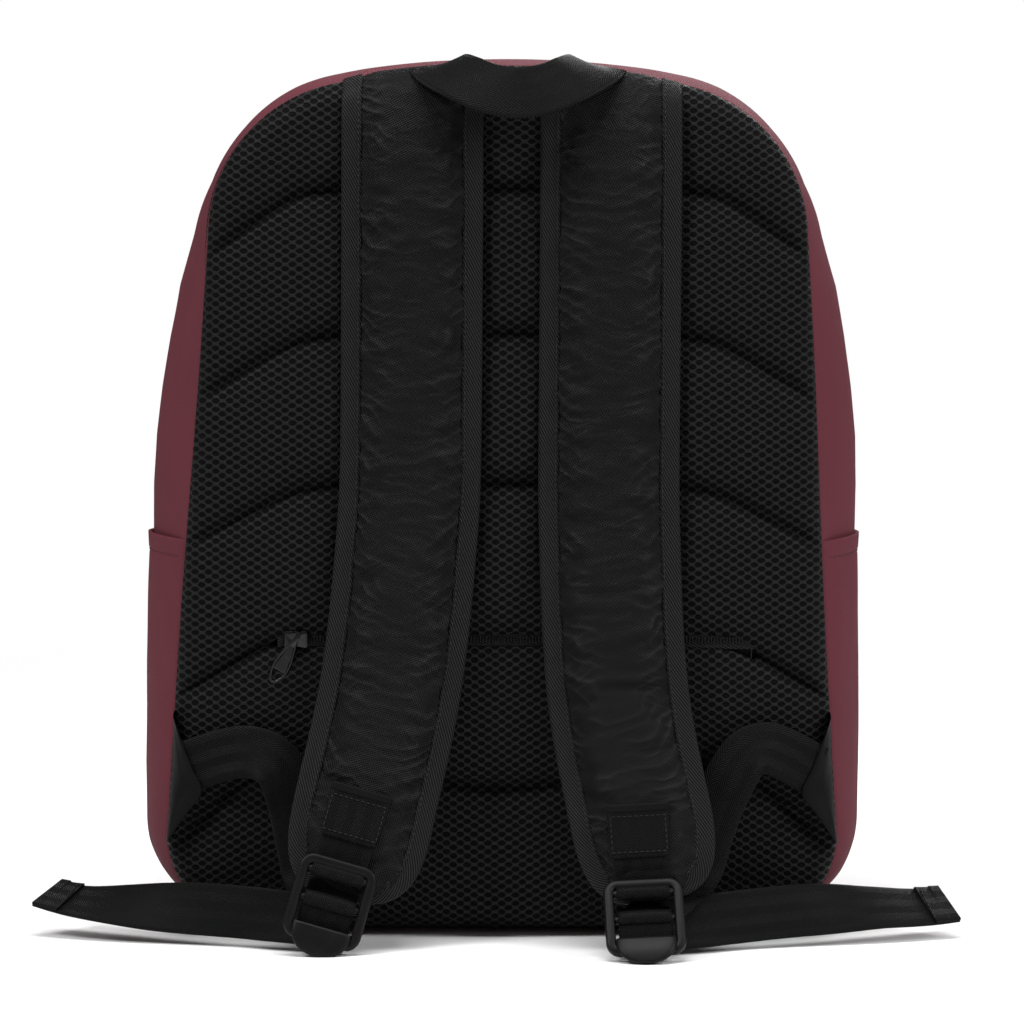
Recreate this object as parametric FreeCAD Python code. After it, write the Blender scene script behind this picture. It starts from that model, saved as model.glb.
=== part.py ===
"""Travel backpack of about twenty litres, as an assembly of sewn panels, webbing and hardware.

Units are millimetres. +Z is up, the harness side faces -Y, and +X is to the right when the
harness faces the viewer. The origin is the middle of the base, on the surface that it stands on.
"""

import FreeCAD
import Part
import math
import os

from FreeCAD import Matrix, Rotation, Vector

os.makedirs("parts", exist_ok=True)

# ---------------------------------------------------------------- driving dimensions
# Bag body: the rear and front seams follow one outline of lines and tangent arcs.
SEAM_Y = 58.0  # the two seams lie at y = -58 and y = +58
SIDE_HALF_WIDTH = 162.0  # half width of the seam outline at SIDE_LEVEL
SIDE_LEVEL = 52.0
SIDE_TAPER = 0.0625  # half width lost for each millimetre of height
TOP_CORNER_R = 75.0
CROWN_R = 400.0
CROWN_TOP = 419.0
BOTTOM_CORNER_R = 45.0
BOTTOM_Z = 3.5
PANEL_THICK = 2.0
# Height and outward swell of the gusset half way between the seams. Behind the side
# pockets it gives way, so that a bottle or an umbrella finds room there.
GUSSET_SWELL = [
    (10, 4.5), (22, 4.6), (50, 5.0), (77, 5.5), (127, 6.5), (160, 7.5), (180, 8.5),
    (193, 10.5), (204, 17), (214, 21), (239, 22), (263, 21), (288, 19), (313, 16),
    (338, 11), (362, 8), (387, 6.5), (425, 6.5),
]
POCKET_SWELL = [(0, 6), (22, 8), (50, 12), (77, 15), (127, 18.5), (160, 20.5), (200, 21.5)]
POCKET_BOTTOM = 14.0
POCKET_TOP = 191.0
POCKET_HEM = 8.5

# Front and back panels.
FRONT_DEPTH = 26.0
FRONT_ROUND = 36.0
BACK_DEPTH = 12.0
BACK_ROUND = 10.0
MESH_THICK = 3.0

# Zips.
MAIN_ZIP_Y = 40.0
MAIN_ZIP_LOW = 250.0
FRONT_ZIP_Z = 235.0
FRONT_ZIP_HALF = 95.0
BACK_ZIP_Z = 144.0
BACK_ZIP_X = (-106.0, 119.0)

# Sliders and pulls.
RUN_GAP = 0.35  # clearance between a slider and the coil under it
BODY_HIGH = 1.8
SLIDER_HIGH = 4.2
BRIDGE_HALF = 1.2
PIN_HIGH = 2.55
PIN_R = 0.55
PULL_THICK = 1.3
PULL_HANG = math.radians(29.0)  # the back pull hangs this far off the vertical

# Harness.
WEB_WIDTH = 25.0
STRAP_WIDTH = 67.0
BINDING_WIDTH = 9.0
BINDING_THICK = 0.6
# Height, distance from the middle, drift of the pair to +X, inner face y, thickness.
STRAP_PATH = [
    (409.0, 47.3, 4.0, -70.9, 3.4),
    (400.0, 47.3, 4.0, -70.9, 5.0),
    (386.0, 47.3, 4.0, -70.9, 8.0),
    (360.0, 47.3, 4.0, -70.9, 9.0),
    (310.0, 47.3, 3.8, -70.9, 9.0),
    (260.0, 47.3, 3.6, -70.9, 9.0),
    (215.0, 47.6, 3.2, -71.6, 9.0),
    (180.0, 49.2, 2.4, -74.2, 9.0),
    (150.0, 51.2, 1.6, -77.0, 9.0),
    (121.0, 54.3, 0.8, -80.0, 9.0),
    (96.0, 58.6, 0.3, -84.5, 9.0),
    (74.0, 63.4, 0.0, -90.5, 8.5),
    (58.0, 66.8, 0.0, -95.4, 8.0),
    (44.0, 69.6, 0.0, -99.6, 7.5),
    (34.0, 71.4, 0.0, -102.6, 7.0),
    (25.0, 73.0, 0.0, -105.3, 6.5),
]
STRAP_ROUND = 46.0  # length over which the strap's end narrows

# Grab handle: (outer edge, inner edge) of one half, x from the handle's own middle.
HANDLE_X = 4.5
HANDLE_EDGES = [
    ((-51.0, -62.0, 417.6), (-24.0, -60.8, 420.8)),
    ((-45.5, -74.5, 412.0), (-22.0, -68.0, 424.2)),
    ((-34.0, -87.0, 405.0), (-16.5, -79.5, 422.0)),
    ((-18.0, -95.5, 397.5), (-9.0, -88.0, 418.4)),
]
HANDLE_MIDDLE = ((0.0, -99.0, 394.2), (0.0, -91.0, 417.2))

# Ladder-lock buckles: bar position, turn in the strap's plane, lean away from the bag.
BUCKLES = {
    "left": ((-77.0, -114.5, 37.0), 16.0, 12.0),
    "right": ((66.5, -116.0, 29.0), -3.0, 40.0),
}
BAR_R = 2.0
BUCKLE_HALF = 18.5
BAR_GAP = 14.0
BUCKLE_END = 34.0

# Webbing tails that lie on edge beside the buckles: plan points and lower edge height.
TAILS = {
    "left": [(-101, -105, 5.5), (-125, -98, 6), (-160, -85, 6.5), (-195, -71, 6), (-224, -57, 5)],
    "right": [(88, -110, 4), (112, -103, 5.5), (148, -90, 6.5), (185, -74, 6), (217, -57, 5)],
}


# ---------------------------------------------------------------- helpers
def table(rows, z):
    """Straight-line reading of a (height, value) table, held flat past its ends."""
    if z <= rows[0][0]:
        return rows[0][1]
    for (z0, v0), (z1, v1) in zip(rows, rows[1:]):
        if z <= z1:
            return v0 + (v1 - v0) * (z - z0) / (z1 - z0)
    return rows[-1][1]


def box(x, y, z):
    """Block from three (low, high) pairs."""
    return Part.makeBox(x[1] - x[0], y[1] - y[0], z[1] - z[0], Vector(x[0], y[0], z[0]))


def half_outline():
    """Points and outward normals of the seam outline's right half, bottom to top."""
    lean = math.atan(SIDE_TAPER)
    tilt = math.sqrt(1 + SIDE_TAPER**2)
    low_z = BOTTOM_Z + BOTTOM_CORNER_R
    low_x = SIDE_HALF_WIDTH - SIDE_TAPER * (low_z - SIDE_LEVEL) - BOTTOM_CORNER_R * tilt
    crown_z = CROWN_TOP - CROWN_R
    top_z = 330.0
    for _ in range(30):
        top_x = SIDE_HALF_WIDTH - SIDE_TAPER * (top_z - SIDE_LEVEL) - TOP_CORNER_R * tilt
        top_z = crown_z + math.sqrt((CROWN_R - TOP_CORNER_R) ** 2 - top_x**2)
    points = [(low_x * k / 3, BOTTOM_Z, 0.0, -1.0) for k in range(4)]

    def arc(cx, cz, r, start, end, count):
        for k in range(1, count + 1):
            a = start + (end - start) * k / count
            points.append((cx + r * math.cos(a), cz + r * math.sin(a), math.cos(a), math.sin(a)))

    arc(low_x, low_z, BOTTOM_CORNER_R, -math.pi / 2, lean, 5)
    first = points[-1]
    last_z = top_z + TOP_CORNER_R * math.sin(lean)
    last_x = top_x + TOP_CORNER_R * math.cos(lean)
    for k in range(1, 26):
        t = k / 26
        points.append((
            first[0] + (last_x - first[0]) * t,
            first[1] + (last_z - first[1]) * t,
            math.cos(lean),
            math.sin(lean),
        ))
    points.append((last_x, last_z, math.cos(lean), math.sin(lean)))
    meet = math.atan2(top_z - crown_z, top_x)
    arc(top_x, top_z, TOP_CORNER_R, lean, meet, 6)
    arc(0.0, crown_z, CROWN_R, meet, math.pi / 2, 3)
    return points


OUTLINE = half_outline()


def outline_wire(y, grow):
    """Closed smooth wire at depth y: the seam outline moved outwards by grow(height)."""
    right = []
    for x, z, nx, nz in OUTLINE:
        g = grow(z)
        right.append(Vector(x + nx * g, y, z + nz * g))
    right[0].x = 0.0
    right[-1].x = 0.0
    left = [Vector(-p.x, p.y, p.z) for p in reversed(right[1:-1])]
    curve = Part.BSplineCurve()
    curve.interpolate(Points=right + left, PeriodicFlag=True)
    return Part.Wire(curve.toShape())


def swollen(rows, inset, reach=SEAM_Y):
    """Solid between the seams whose side swells outwards by a table, moved in by inset."""
    wires = []
    for y in (-reach, -0.6 * reach, 0.0, 0.6 * reach, reach):
        depth = 1 - (y / SEAM_Y) ** 2
        wires.append(outline_wire(y, lambda z: table(rows, z) * depth - inset))
    return Part.makeLoft(wires, True, False)


def domed(side, depth, inward, inset):
    """Cushion-shaped solid from a seam plane outwards; side is -1 behind, +1 in front."""
    wires = []
    for t in (0.0, 0.4, 0.7, 0.9, 1.0):
        step = inward * (1 - math.sqrt(1 - t * t)) + inset
        wires.append(outline_wire(side * (SEAM_Y + depth * t), lambda z: -step))
    return Part.makeLoft(wires, True, False)


def ribbon(stations, straight=False):
    """Loft of thin rectangles; a station is (centre, across, normal, half width, low, high)."""
    wires = []
    for centre, across, normal, half, low, high in stations:
        corners = [
            centre - across * half + normal * low,
            centre + across * half + normal * low,
            centre + across * half + normal * high,
            centre - across * half + normal * high,
        ]
        wires.append(Part.makePolygon(corners + [corners[0]]))
    return Part.makeLoft(wires, True, straight)


def unit(v):
    v = Vector(v)
    return v.normalize()


def one_solid(shape):
    """The largest solid of a shape, as a solid."""
    return max(shape.Solids, key=lambda s: s.Volume)


made = {}


def save(name, shape):
    """Writes one part as STEP and keeps its shape in made."""
    solids = shape.Solids
    made[name] = shape
    out = solids[0] if len(solids) == 1 else Part.makeCompound(solids)
    out.exportStep(os.path.join("parts", name + ".step"))
    box_ = out.BoundBox
    print("%-26s %d solid(s) valid %s volume %9.0f  z %.1f..%.1f" % (
        name, len(solids), out.isValid(), out.Volume, box_.ZMin, box_.ZMax,
    ))


WIDE = (-260.0, 260.0)

# ---------------------------------------------------------------- gusset ring
outer = swollen(GUSSET_SWELL, 0.0)
inner = swollen(GUSSET_SWELL, PANEL_THICK)
ring = outer.cut(inner)
full = (-SEAM_Y - 1, SEAM_Y + 1)
zip_lip = 7.0
save("side_gusset_left", ring.common(box((-260, 0), full, (24, MAIN_ZIP_LOW))))
save("side_gusset_right", ring.common(box((0, 260), full, (24, MAIN_ZIP_LOW))))
# The bottom is pressed flat where it stands.
save("bottom_panel", ring.common(box(WIDE, full, (0, 24))))
top = ring.common(box(WIDE, full, (MAIN_ZIP_LOW, 450)))
save("top_gusset_rear", top.common(box(WIDE, (-SEAM_Y - 1, MAIN_ZIP_Y - zip_lip), (0, 450))))
save("top_gusset_front", top.common(box(WIDE, (MAIN_ZIP_Y + zip_lip, SEAM_Y + 1), (0, 450))))

# The zip lies in the channel between the two top gussets, on tapes below their faces.
tape_out = inner
tape_in = swollen(GUSSET_SWELL, PANEL_THICK + 1.2)
tape_box = box(WIDE, (MAIN_ZIP_Y - 10, MAIN_ZIP_Y + 10), (MAIN_ZIP_LOW + 6, 450))
save("main_zip_tape", tape_out.cut(tape_in).common(tape_box))
coil_out = swollen(GUSSET_SWELL, PANEL_THICK - 0.8)
coil_box = box(WIDE, (MAIN_ZIP_Y - 1.5, MAIN_ZIP_Y + 1.5), (MAIN_ZIP_LOW + 6, 450))
save("main_zip_coil", coil_out.cut(inner).common(coil_box))
bind_box_back = box(WIDE, (-SEAM_Y, -SEAM_Y + 7), (0, 450))
bind_box_front = box(WIDE, (SEAM_Y - 7, SEAM_Y), (0, 450))
binding_ring = tape_out.cut(tape_in)
save("seam_binding_back", binding_ring.common(bind_box_back))
save("seam_binding_front", binding_ring.common(bind_box_front))

# ---------------------------------------------------------------- front panel and its pocket
front_shell = domed(1, FRONT_DEPTH, FRONT_ROUND, 0.0).cut(
    domed(1, FRONT_DEPTH - PANEL_THICK, FRONT_ROUND, PANEL_THICK)
)
slot_x = (-FRONT_ZIP_HALF - 2, FRONT_ZIP_HALF + 2)
slot_z = (FRONT_ZIP_Z - 7, FRONT_ZIP_Z + 7)
front_face = SEAM_Y + FRONT_DEPTH
front_shell = front_shell.cut(box(slot_x, (front_face - 5, front_face + 5), slot_z))
front_y = (SEAM_Y - 1, front_face + 5)
save("front_panel_upper", front_shell.common(box(WIDE, front_y, (FRONT_ZIP_Z, 450))))
save("front_panel_lower", front_shell.common(box(WIDE, front_y, (-5, FRONT_ZIP_Z))))
save("front_zip_tape", box(slot_x, (front_face - 2.0, front_face - 1.0), slot_z))
save("front_zip_coil", box(
    (-FRONT_ZIP_HALF, FRONT_ZIP_HALF),
    (front_face - 1.0, front_face - 0.2),
    (FRONT_ZIP_Z - 1.5, FRONT_ZIP_Z + 1.5),
))
pouch = box((-101, 101), (73, front_face - 2), (88, 247))
save("front_pocket_lining", pouch.cut(box((-100, 100), (74, front_face), (89, 246))))

# ---------------------------------------------------------------- back panel and its pocket
back_solid = domed(-1, BACK_DEPTH, BACK_ROUND, 0.0)
under_mesh = domed(-1, BACK_DEPTH - MESH_THICK, BACK_ROUND, MESH_THICK)
back_face = -SEAM_Y - BACK_DEPTH
zip_x = (BACK_ZIP_X[0] - 2, BACK_ZIP_X[1] + 2)
zip_z = (BACK_ZIP_Z - 4.5, BACK_ZIP_Z + 4.5)
mesh_slot = box(zip_x, (back_face - 2, back_face + MESH_THICK), zip_z)
save("back_mesh", back_solid.cut(under_mesh).cut(mesh_slot))
pouch_x = (zip_x[0] + 1, zip_x[1] - 1)
back_pouch = box(pouch_x, (-66.9, -62.0), (38, BACK_ZIP_Z + 5))
save("back_foam", under_mesh.common(box(WIDE, (back_face, -60), (0, 450))).cut(back_pouch))
save("back_lining", under_mesh.common(box(WIDE, (-60, -SEAM_Y), (0, 450))))
pouch_room = box((pouch_x[0] + 0.4, pouch_x[1] - 0.4), (-67.5, -62.4), (38.4, BACK_ZIP_Z + 4.6))
save("back_pocket_lining", back_pouch.cut(pouch_room))
save("back_zip_tape", box(zip_x, (back_face + 1.6, back_face + 2.8), zip_z))
save("back_zip_coil", box(
    BACK_ZIP_X, (back_face + 0.5, back_face + 1.6), (BACK_ZIP_Z - 1.5, BACK_ZIP_Z + 1.5)
))

# ---------------------------------------------------------------- laptop sleeve
sleeve_x = (-128.0, 128.0)
sleeve_z = (16.0, 292.0)
sleeve = box(sleeve_x, (-57.9, -48.0), sleeve_z)
sleeve_room = box((sleeve_x[0] + 1.6, sleeve_x[1] - 1.6), (-59, -49.6), (sleeve_z[0] + 1.6, 300))
save("laptop_sleeve", sleeve.cut(sleeve_room))
save("sleeve_binding", box(
    (sleeve_x[0] + 1.6, sleeve_x[1] - 1.6), (-50.2, -47.4), (sleeve_z[1], sleeve_z[1] + 5)
))

# ---------------------------------------------------------------- side pockets
pocket_out = swollen(POCKET_SWELL, 0.0)
pocket_in = swollen(POCKET_SWELL, PANEL_THICK)
pocket_sheet = pocket_out.cut(pocket_in).cut(outer)
hem_out = swollen(POCKET_SWELL, -0.5)
hem_in = swollen(POCKET_SWELL, PANEL_THICK + 0.5)
hem_sheet = hem_out.cut(hem_in).cut(outer)
hem_z = POCKET_TOP - POCKET_HEM
for side, x in (("left", (-260.0, -100.0)), ("right", (100.0, 260.0))):
    pocket = pocket_sheet.common(box(x, (-54, 54), (POCKET_BOTTOM, hem_z)))
    save("side_pocket_" + side, one_solid(pocket))
    hem = hem_sheet.common(box(x, (-54, 54), (hem_z, POCKET_TOP)))
    save("side_pocket_hem_" + side, one_solid(hem))

# ---------------------------------------------------------------- wings
# A folded triangle of cloth in each rear side seam takes the load of the lower webbing.
for side, s in (("left", -1), ("right", 1)):
    corners = [
        Vector(s * 154.0, -71.0, 112.0),
        Vector(s * 146.5, -71.0, 100.0),
        Vector(s * 135.5, -71.0, 73.0),
        Vector(s * 141.0, -71.0, 64.0),
        Vector(s * 155.5, -71.0, 44.0),
    ]
    face = Part.Face(Part.makePolygon(corners + [corners[0]]))
    save("wing_" + side, face.extrude(Vector(0, -2.2, 0)))


# ---------------------------------------------------------------- shoulder straps
def strap_frames(s):
    """Centre of the inner face, across, outward normal and thickness at each station."""
    path = [(Vector(s * x + drift, y, z), thick) for z, x, drift, y, thick in STRAP_PATH]
    frames = []
    for k, (here, thick) in enumerate(path):
        ahead = path[min(k + 1, len(path) - 1)][0]
        behind = path[max(k - 1, 0)][0]
        along = unit(ahead - behind)
        across = unit(along.cross(Vector(0, 1, 0)))
        frames.append((here, across, unit(along.cross(across)), thick))
    return frames


def strap_layer(frames, margin, low, high, end_trim, over=0.0):
    """One layer of a strap; low and high are shares of the thickness, over adds outside."""
    run = [0.0]
    for (a, _, _, _), (b, _, _, _) in zip(frames, frames[1:]):
        run.append(run[-1] + (b - a).Length)
    total = run[-1]
    stations = []
    for (here, across, normal, thick), at in zip(frames, run):
        half = STRAP_WIDTH / 2 - margin
        past = at - (total - STRAP_ROUND)
        if past > 0:
            half *= math.sqrt(max(0.0, 1 - (past / (STRAP_ROUND * 1.06)) ** 2))
        if at > total - end_trim:
            break
        stations.append((here, across, normal, half, thick * low - over, thick * high + over))
    return ribbon(stations)


for side, s in (("left", -1), ("right", 1)):
    frames = strap_frames(s)
    name = "strap_%s_" + side
    save(name % "lining", strap_layer(frames, 1.2, 0.0, 0.15, 3))
    save(name % "foam", strap_layer(frames, 1.2, 0.15, 0.85, 3))
    save(name % "cover", strap_layer(frames, 1.2, 0.85, 1.0, 3))
    whole = strap_layer(frames, 0.0, 0.0, 1.0, 0, BINDING_THICK)
    core = strap_layer(frames, 1.2, 0.0, 1.0, 3)
    window = strap_layer(frames, BINDING_WIDTH, 0.0, 1.0, 12, 3.0)
    save(name % "binding", one_solid(whole.cut(core).cut(window)))


# ---------------------------------------------------------------- buckles and their webbing
def placed(shape, side):
    """Shape from buckle space: bar on the X axis, outer face towards -Y, end towards -Z."""
    position, turn, lean = BUCKLES[side]
    spin = Rotation(Vector(0, 1, 0), turn).multiply(Rotation(Vector(1, 0, 0), -lean))
    out = shape.copy()
    out.Placement = FreeCAD.Placement(Vector(*position), spin)
    return out


def point_on_buckle(side, x, y, z):
    position, turn, lean = BUCKLES[side]
    spin = Rotation(Vector(0, 1, 0), turn).multiply(Rotation(Vector(1, 0, 0), -lean))
    return Vector(*position) + spin.multVec(Vector(x, y, z))


def rod(x0, x1, radius, z):
    return Part.makeCylinder(radius, x1 - x0, Vector(x0, 0, z), Vector(1, 0, 0))


def buckle_shape():
    """Two rails joined by the tab bar, the webbing bar and a broad thumb lip."""
    rail_in = BUCKLE_HALF - 4.0
    plate = box((-BUCKLE_HALF, BUCKLE_HALF), (-2.4, 2.4), (-BUCKLE_END, 3.6))
    corners = [e for e in plate.Edges if abs(e.tangentAt(e.FirstParameter).y) > 0.9]
    plate = plate.makeFillet(3.2, corners)
    windows = box((-rail_in, rail_in), (-5, 5), (-24.0, 3.7))
    body = plate.cut(windows)
    body = body.fuse([
        rod(-rail_in - 1, rail_in + 1, BAR_R, 0.0),
        rod(-rail_in - 1, rail_in + 1, BAR_R, -BAR_GAP),
        box((-rail_in, rail_in), (-4.2, -2.4), (-31.0, -26.0)),
    ])
    return one_solid(body.removeSplitter())


for side in ("left", "right"):
    save("buckle_" + side, placed(buckle_shape(), side))
    # The anchor tab loops round the tab bar and runs up on to the strap's face.
    frames = strap_frames(-1 if side == "left" else 1)
    low = frames[-2]
    outward = low[2]
    bar = point_on_buckle(side, 0, 0, 0)
    across = unit(point_on_buckle(side, 1, 0, 0) - bar)
    along = unit(outward.cross(across))
    if along.z < 0:
        along = along * -1
    outward = unit(across.cross(along))
    if outward.y > 0:
        outward = outward * -1
    gap = (bar - low[0]).dot(low[2]) - low[3] - BINDING_THICK
    near = 1.4 - gap
    half = WEB_WIDTH / 2
    tab = ribbon([
        (bar + along * 36 + low[2] * (near + 0.9), across, outward, half + 1.5, 0.0, 1.4),
        (bar + along * 14 + low[2] * near, across, outward, half, 0.0, 1.4),
        (bar + along * 6.5 + low[2] * (near * 0.35), across, outward, half, 0.0, 1.4),
        (bar + outward * (BAR_R + 0.3), across, outward, half, 0.0, 1.4),
    ])
    loop = Part.makeCylinder(BAR_R + 1.7, WEB_WIDTH, bar - across * half, across)
    bore = Part.makeCylinder(BAR_R + 0.3, WEB_WIDTH + 40, bar - across * (half + 20), across)
    tab = tab.fuse(loop).cut(bore)
    for layer in ("binding", "cover", "foam"):
        tab = tab.cut(made["strap_%s_%s" % (layer, side)])
    save("anchor_tab_" + side, one_solid(tab))
    # Webbing round the second bar; its two ends lie behind the buckle.
    sleeve_solid = rod(-half, half, BAR_R + 1.6, -BAR_GAP).cut(rod(-30, 30, BAR_R, -BAR_GAP))
    stub = box((-half, half), (BAR_R + 0.2, BAR_R + 1.6), (-BAR_GAP - 8, -BAR_GAP))
    save("adjuster_loop_" + side, placed(one_solid(sleeve_solid.fuse(stub)), side))

# ---------------------------------------------------------------- webbing tails and lower webbing
for side, points in TAILS.items():
    stations = []
    for k, (x, y, low) in enumerate(points):
        ahead = points[min(k + 1, len(points) - 1)]
        behind = points[max(k - 1, 0)]
        along = unit(Vector(ahead[0] - behind[0], ahead[1] - behind[1], 0))
        up = Vector(0, 0, 1)
        centre = Vector(x, y, low + WEB_WIDTH / 2)
        stations.append((centre, up, along.cross(up), WEB_WIDTH / 2, -0.75, 0.75))
    tail = ribbon(stations)
    end, _, normal, _, _, _ = stations[-1]
    before = stations[-2][0]
    back = unit(Vector(before.x - end.x, before.y - end.y, 0))
    hem = ribbon([
        (end, Vector(0, 0, 1), normal, WEB_WIDTH / 2, -1.5, 1.5),
        (end + back * 14, Vector(0, 0, 1), normal, WEB_WIDTH / 2, -1.5, 1.5),
    ])
    save("webbing_tail_" + side, one_solid(tail.fuse(hem)))

for side, s in (("left", -1), ("right", 1)):
    behind = point_on_buckle(side, -3.5 - 3.5 * s, BAR_R + 6.5 + 1.5 * s, -BAR_GAP - 4)
    route = [
        (Vector(s * 139, -74.2, 84), Vector(s * -0.42, 0, -0.91)),
        (Vector(s * 128, -76.5, 90), Vector(s * -0.20, -0.2, -0.96)),
        (Vector(s * 119, -79.0, 88), Vector(s * 0.30, -0.3, -0.90)),
        (Vector(s * 113, -80.0, 78), Vector(s * 0.72, -0.3, -0.62)),
        (Vector(s * 107, -82.0, 62), Vector(s * 0.92, -0.1, -0.30)),
        (Vector(s * 100, -86.0, 42), Vector(s * 0.95, 0, -0.26)),
        (Vector(s * 83.5 - 1.5, -98.0, 21), Vector(s * 0.96, 0, -0.1)),
        (behind, Vector(s * 0.97, 0, 0.15)),
    ]
    stations = []
    for k, (here, across) in enumerate(route):
        ahead = route[min(k + 1, len(route) - 1)][0]
        back = route[max(k - 1, 0)][0]
        along = unit(ahead - back)
        across = unit(across - along * across.dot(along))
        stations.append((here, across, unit(along.cross(across)), WEB_WIDTH / 2, -0.75, 0.75))
    save("lower_webbing_" + side, ribbon(stations, straight=True))

# ---------------------------------------------------------------- grab handle
half_edges = HANDLE_EDGES + [HANDLE_MIDDLE]
mirrored = [((-a[0], a[1], a[2]), (-b[0], b[1], b[2])) for a, b in reversed(HANDLE_EDGES)]
edges = [(Vector(*a), Vector(*b)) for a, b in half_edges + mirrored]
stations = []
for k, (low, high) in enumerate(edges):
    ahead = edges[min(k + 1, len(edges) - 1)]
    back = edges[max(k - 1, 0)]
    along = unit((ahead[0] + ahead[1]) - (back[0] + back[1]))
    across = unit(high - low)
    centre = (low + high) * 0.5 + Vector(HANDLE_X, 0, 0)
    normal = unit(along.cross(across))
    stations.append((centre, across, normal, (high - low).Length / 2, -0.9, 0.9))
save("grab_handle", ribbon(stations))


# ---------------------------------------------------------------- zip sliders and pulls
def slider_shape(turn):
    """Slider in its own space: base at z = 0, bridge along X, body turned about Z from it."""
    body = box((-5.5, 5.5), (-4.0, 4.0), (0.0, BODY_HIGH))
    body = body.makeFillet(1.2, [e for e in body.Edges if abs(e.tangentAt(0).z) > 0.9])
    body.rotate(Vector(0, 0, 0), Vector(0, 0, 1), turn)
    bridge = box((-3.8, 3.8), (-BRIDGE_HALF, BRIDGE_HALF), (BODY_HIGH - 0.4, SLIDER_HIGH))
    room = box((-2.8, 2.8), (-5, 5), (BODY_HIGH, SLIDER_HIGH - 0.9))
    return one_solid(body.fuse(bridge.cut(room)).removeSplitter())


def pull_shape(length, width):
    """Pull in its own space: pin on the Y axis under the bridge, tab towards -X."""
    half = PULL_THICK / 2
    pin = Part.makeCylinder(PIN_R, 5.6, Vector(0, -2.8, 0), Vector(0, 1, 0))
    arms = [
        box((-7.0, 0.0), (BRIDGE_HALF + 0.3, 2.8), (-PIN_R, PIN_R)),
        box((-7.0, 0.0), (-2.8, -BRIDGE_HALF - 0.3), (-PIN_R, PIN_R)),
    ]
    tab = box((-length, -6.0), (-width / 2, width / 2), (-half, half))
    tab = tab.makeFillet(1.5, [e for e in tab.Edges if abs(e.tangentAt(0).z) > 0.9])
    dimple = box((-length + 1.6, -8.5), (-width / 2 + 1.4, width / 2 - 1.4), (half - 0.4, 5))
    return one_solid(tab.cut(dimple).fuse([pin] + arms).removeSplitter())


def put(shape, origin, x_axis, z_axis):
    """Moves a shape so that its X and Z axes lie along the two directions given."""
    x = unit(x_axis)
    z = unit(z_axis)
    y = z.cross(x)
    matrix = Matrix(
        x.x, y.x, z.x, origin.x,
        x.y, y.y, z.y, origin.y,
        x.z, y.z, z.z, origin.z,
        0, 0, 0, 1,
    )
    out = shape.copy()
    out.transformShape(matrix)
    return out


zip_swell = table(GUSSET_SWELL, CROWN_TOP) * (1 - (MAIN_ZIP_Y / SEAM_Y) ** 2)
slider_r = CROWN_R + zip_swell - (PANEL_THICK - 0.8) + RUN_GAP
crown_centre = Vector(0, MAIN_ZIP_Y, CROWN_TOP - CROWN_R)
for side, s in (("left", -1), ("right", 1)):
    angle = math.radians(90 - s * 1.0)
    outward = Vector(math.cos(angle), 0, math.sin(angle))
    inward = Vector(-s * math.sin(angle), 0, s * math.cos(angle))
    base = crown_centre + outward * slider_r
    save("main_slider_" + side, put(slider_shape(0), base, inward, outward))
    pivot = base + outward * PIN_HIGH
    save("main_pull_" + side, put(pull_shape(25, 6.0), pivot, inward, outward))

front_out = Vector(0, 1, 0)
front_base = Vector(-FRONT_ZIP_HALF + 7, front_face - 0.2 + RUN_GAP, FRONT_ZIP_Z)
save("front_slider", put(slider_shape(90), front_base, Vector(0, 0, 1), front_out))
front_pivot = front_base + front_out * PIN_HIGH
save("front_pull", put(pull_shape(25, 6.5), front_pivot, Vector(0, 0, 1), front_out))

back_out = Vector(0, -1, 0)
back_base = Vector(BACK_ZIP_X[0] + 7, back_face + 0.5 - RUN_GAP, BACK_ZIP_Z)
hang = unit(Vector(math.sin(PULL_HANG), 0, math.cos(PULL_HANG)))
turn = -90 + math.degrees(PULL_HANG)
save("back_slider", put(slider_shape(turn), back_base, hang, back_out))
back_pivot = back_base + back_out * PIN_HIGH
save("back_pull", put(pull_shape(24, 7.0), back_pivot, hang, back_out))
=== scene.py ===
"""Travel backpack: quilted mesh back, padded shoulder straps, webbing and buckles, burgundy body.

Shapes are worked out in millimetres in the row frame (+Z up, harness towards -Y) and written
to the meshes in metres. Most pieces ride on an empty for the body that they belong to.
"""

import math

import bmesh
import bpy
import numpy as np
from mathutils import Matrix, Vector


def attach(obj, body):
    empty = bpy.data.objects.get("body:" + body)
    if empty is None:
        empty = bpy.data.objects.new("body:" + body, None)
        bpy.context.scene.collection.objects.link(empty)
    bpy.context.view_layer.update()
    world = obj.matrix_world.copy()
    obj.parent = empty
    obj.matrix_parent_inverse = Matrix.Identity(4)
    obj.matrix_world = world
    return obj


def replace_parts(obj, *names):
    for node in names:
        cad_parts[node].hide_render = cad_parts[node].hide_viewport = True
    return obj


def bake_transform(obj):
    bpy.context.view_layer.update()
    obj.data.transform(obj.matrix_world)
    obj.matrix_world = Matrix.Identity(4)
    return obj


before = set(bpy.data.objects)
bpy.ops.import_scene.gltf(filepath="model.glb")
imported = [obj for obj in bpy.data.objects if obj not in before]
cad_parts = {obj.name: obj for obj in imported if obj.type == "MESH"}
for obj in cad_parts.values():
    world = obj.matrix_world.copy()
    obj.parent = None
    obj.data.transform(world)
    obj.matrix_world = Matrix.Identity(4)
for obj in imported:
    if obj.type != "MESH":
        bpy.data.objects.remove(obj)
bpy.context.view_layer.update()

# ------------------------------------------------------------------ sizes, in millimetres
SEAM_Y = 58.0
SIDE_HALF_WIDTH, SIDE_LEVEL, SIDE_TAPER = 162.0, 52.0, 0.0625
TOP_CORNER_R, TOP_CORNER_Z, CROWN_R, CROWN_TOP = 75.0, 336.6, 400.0, 419.0
BOTTOM_CORNER_R, BOTTOM_Z = 45.0, 3.5
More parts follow.
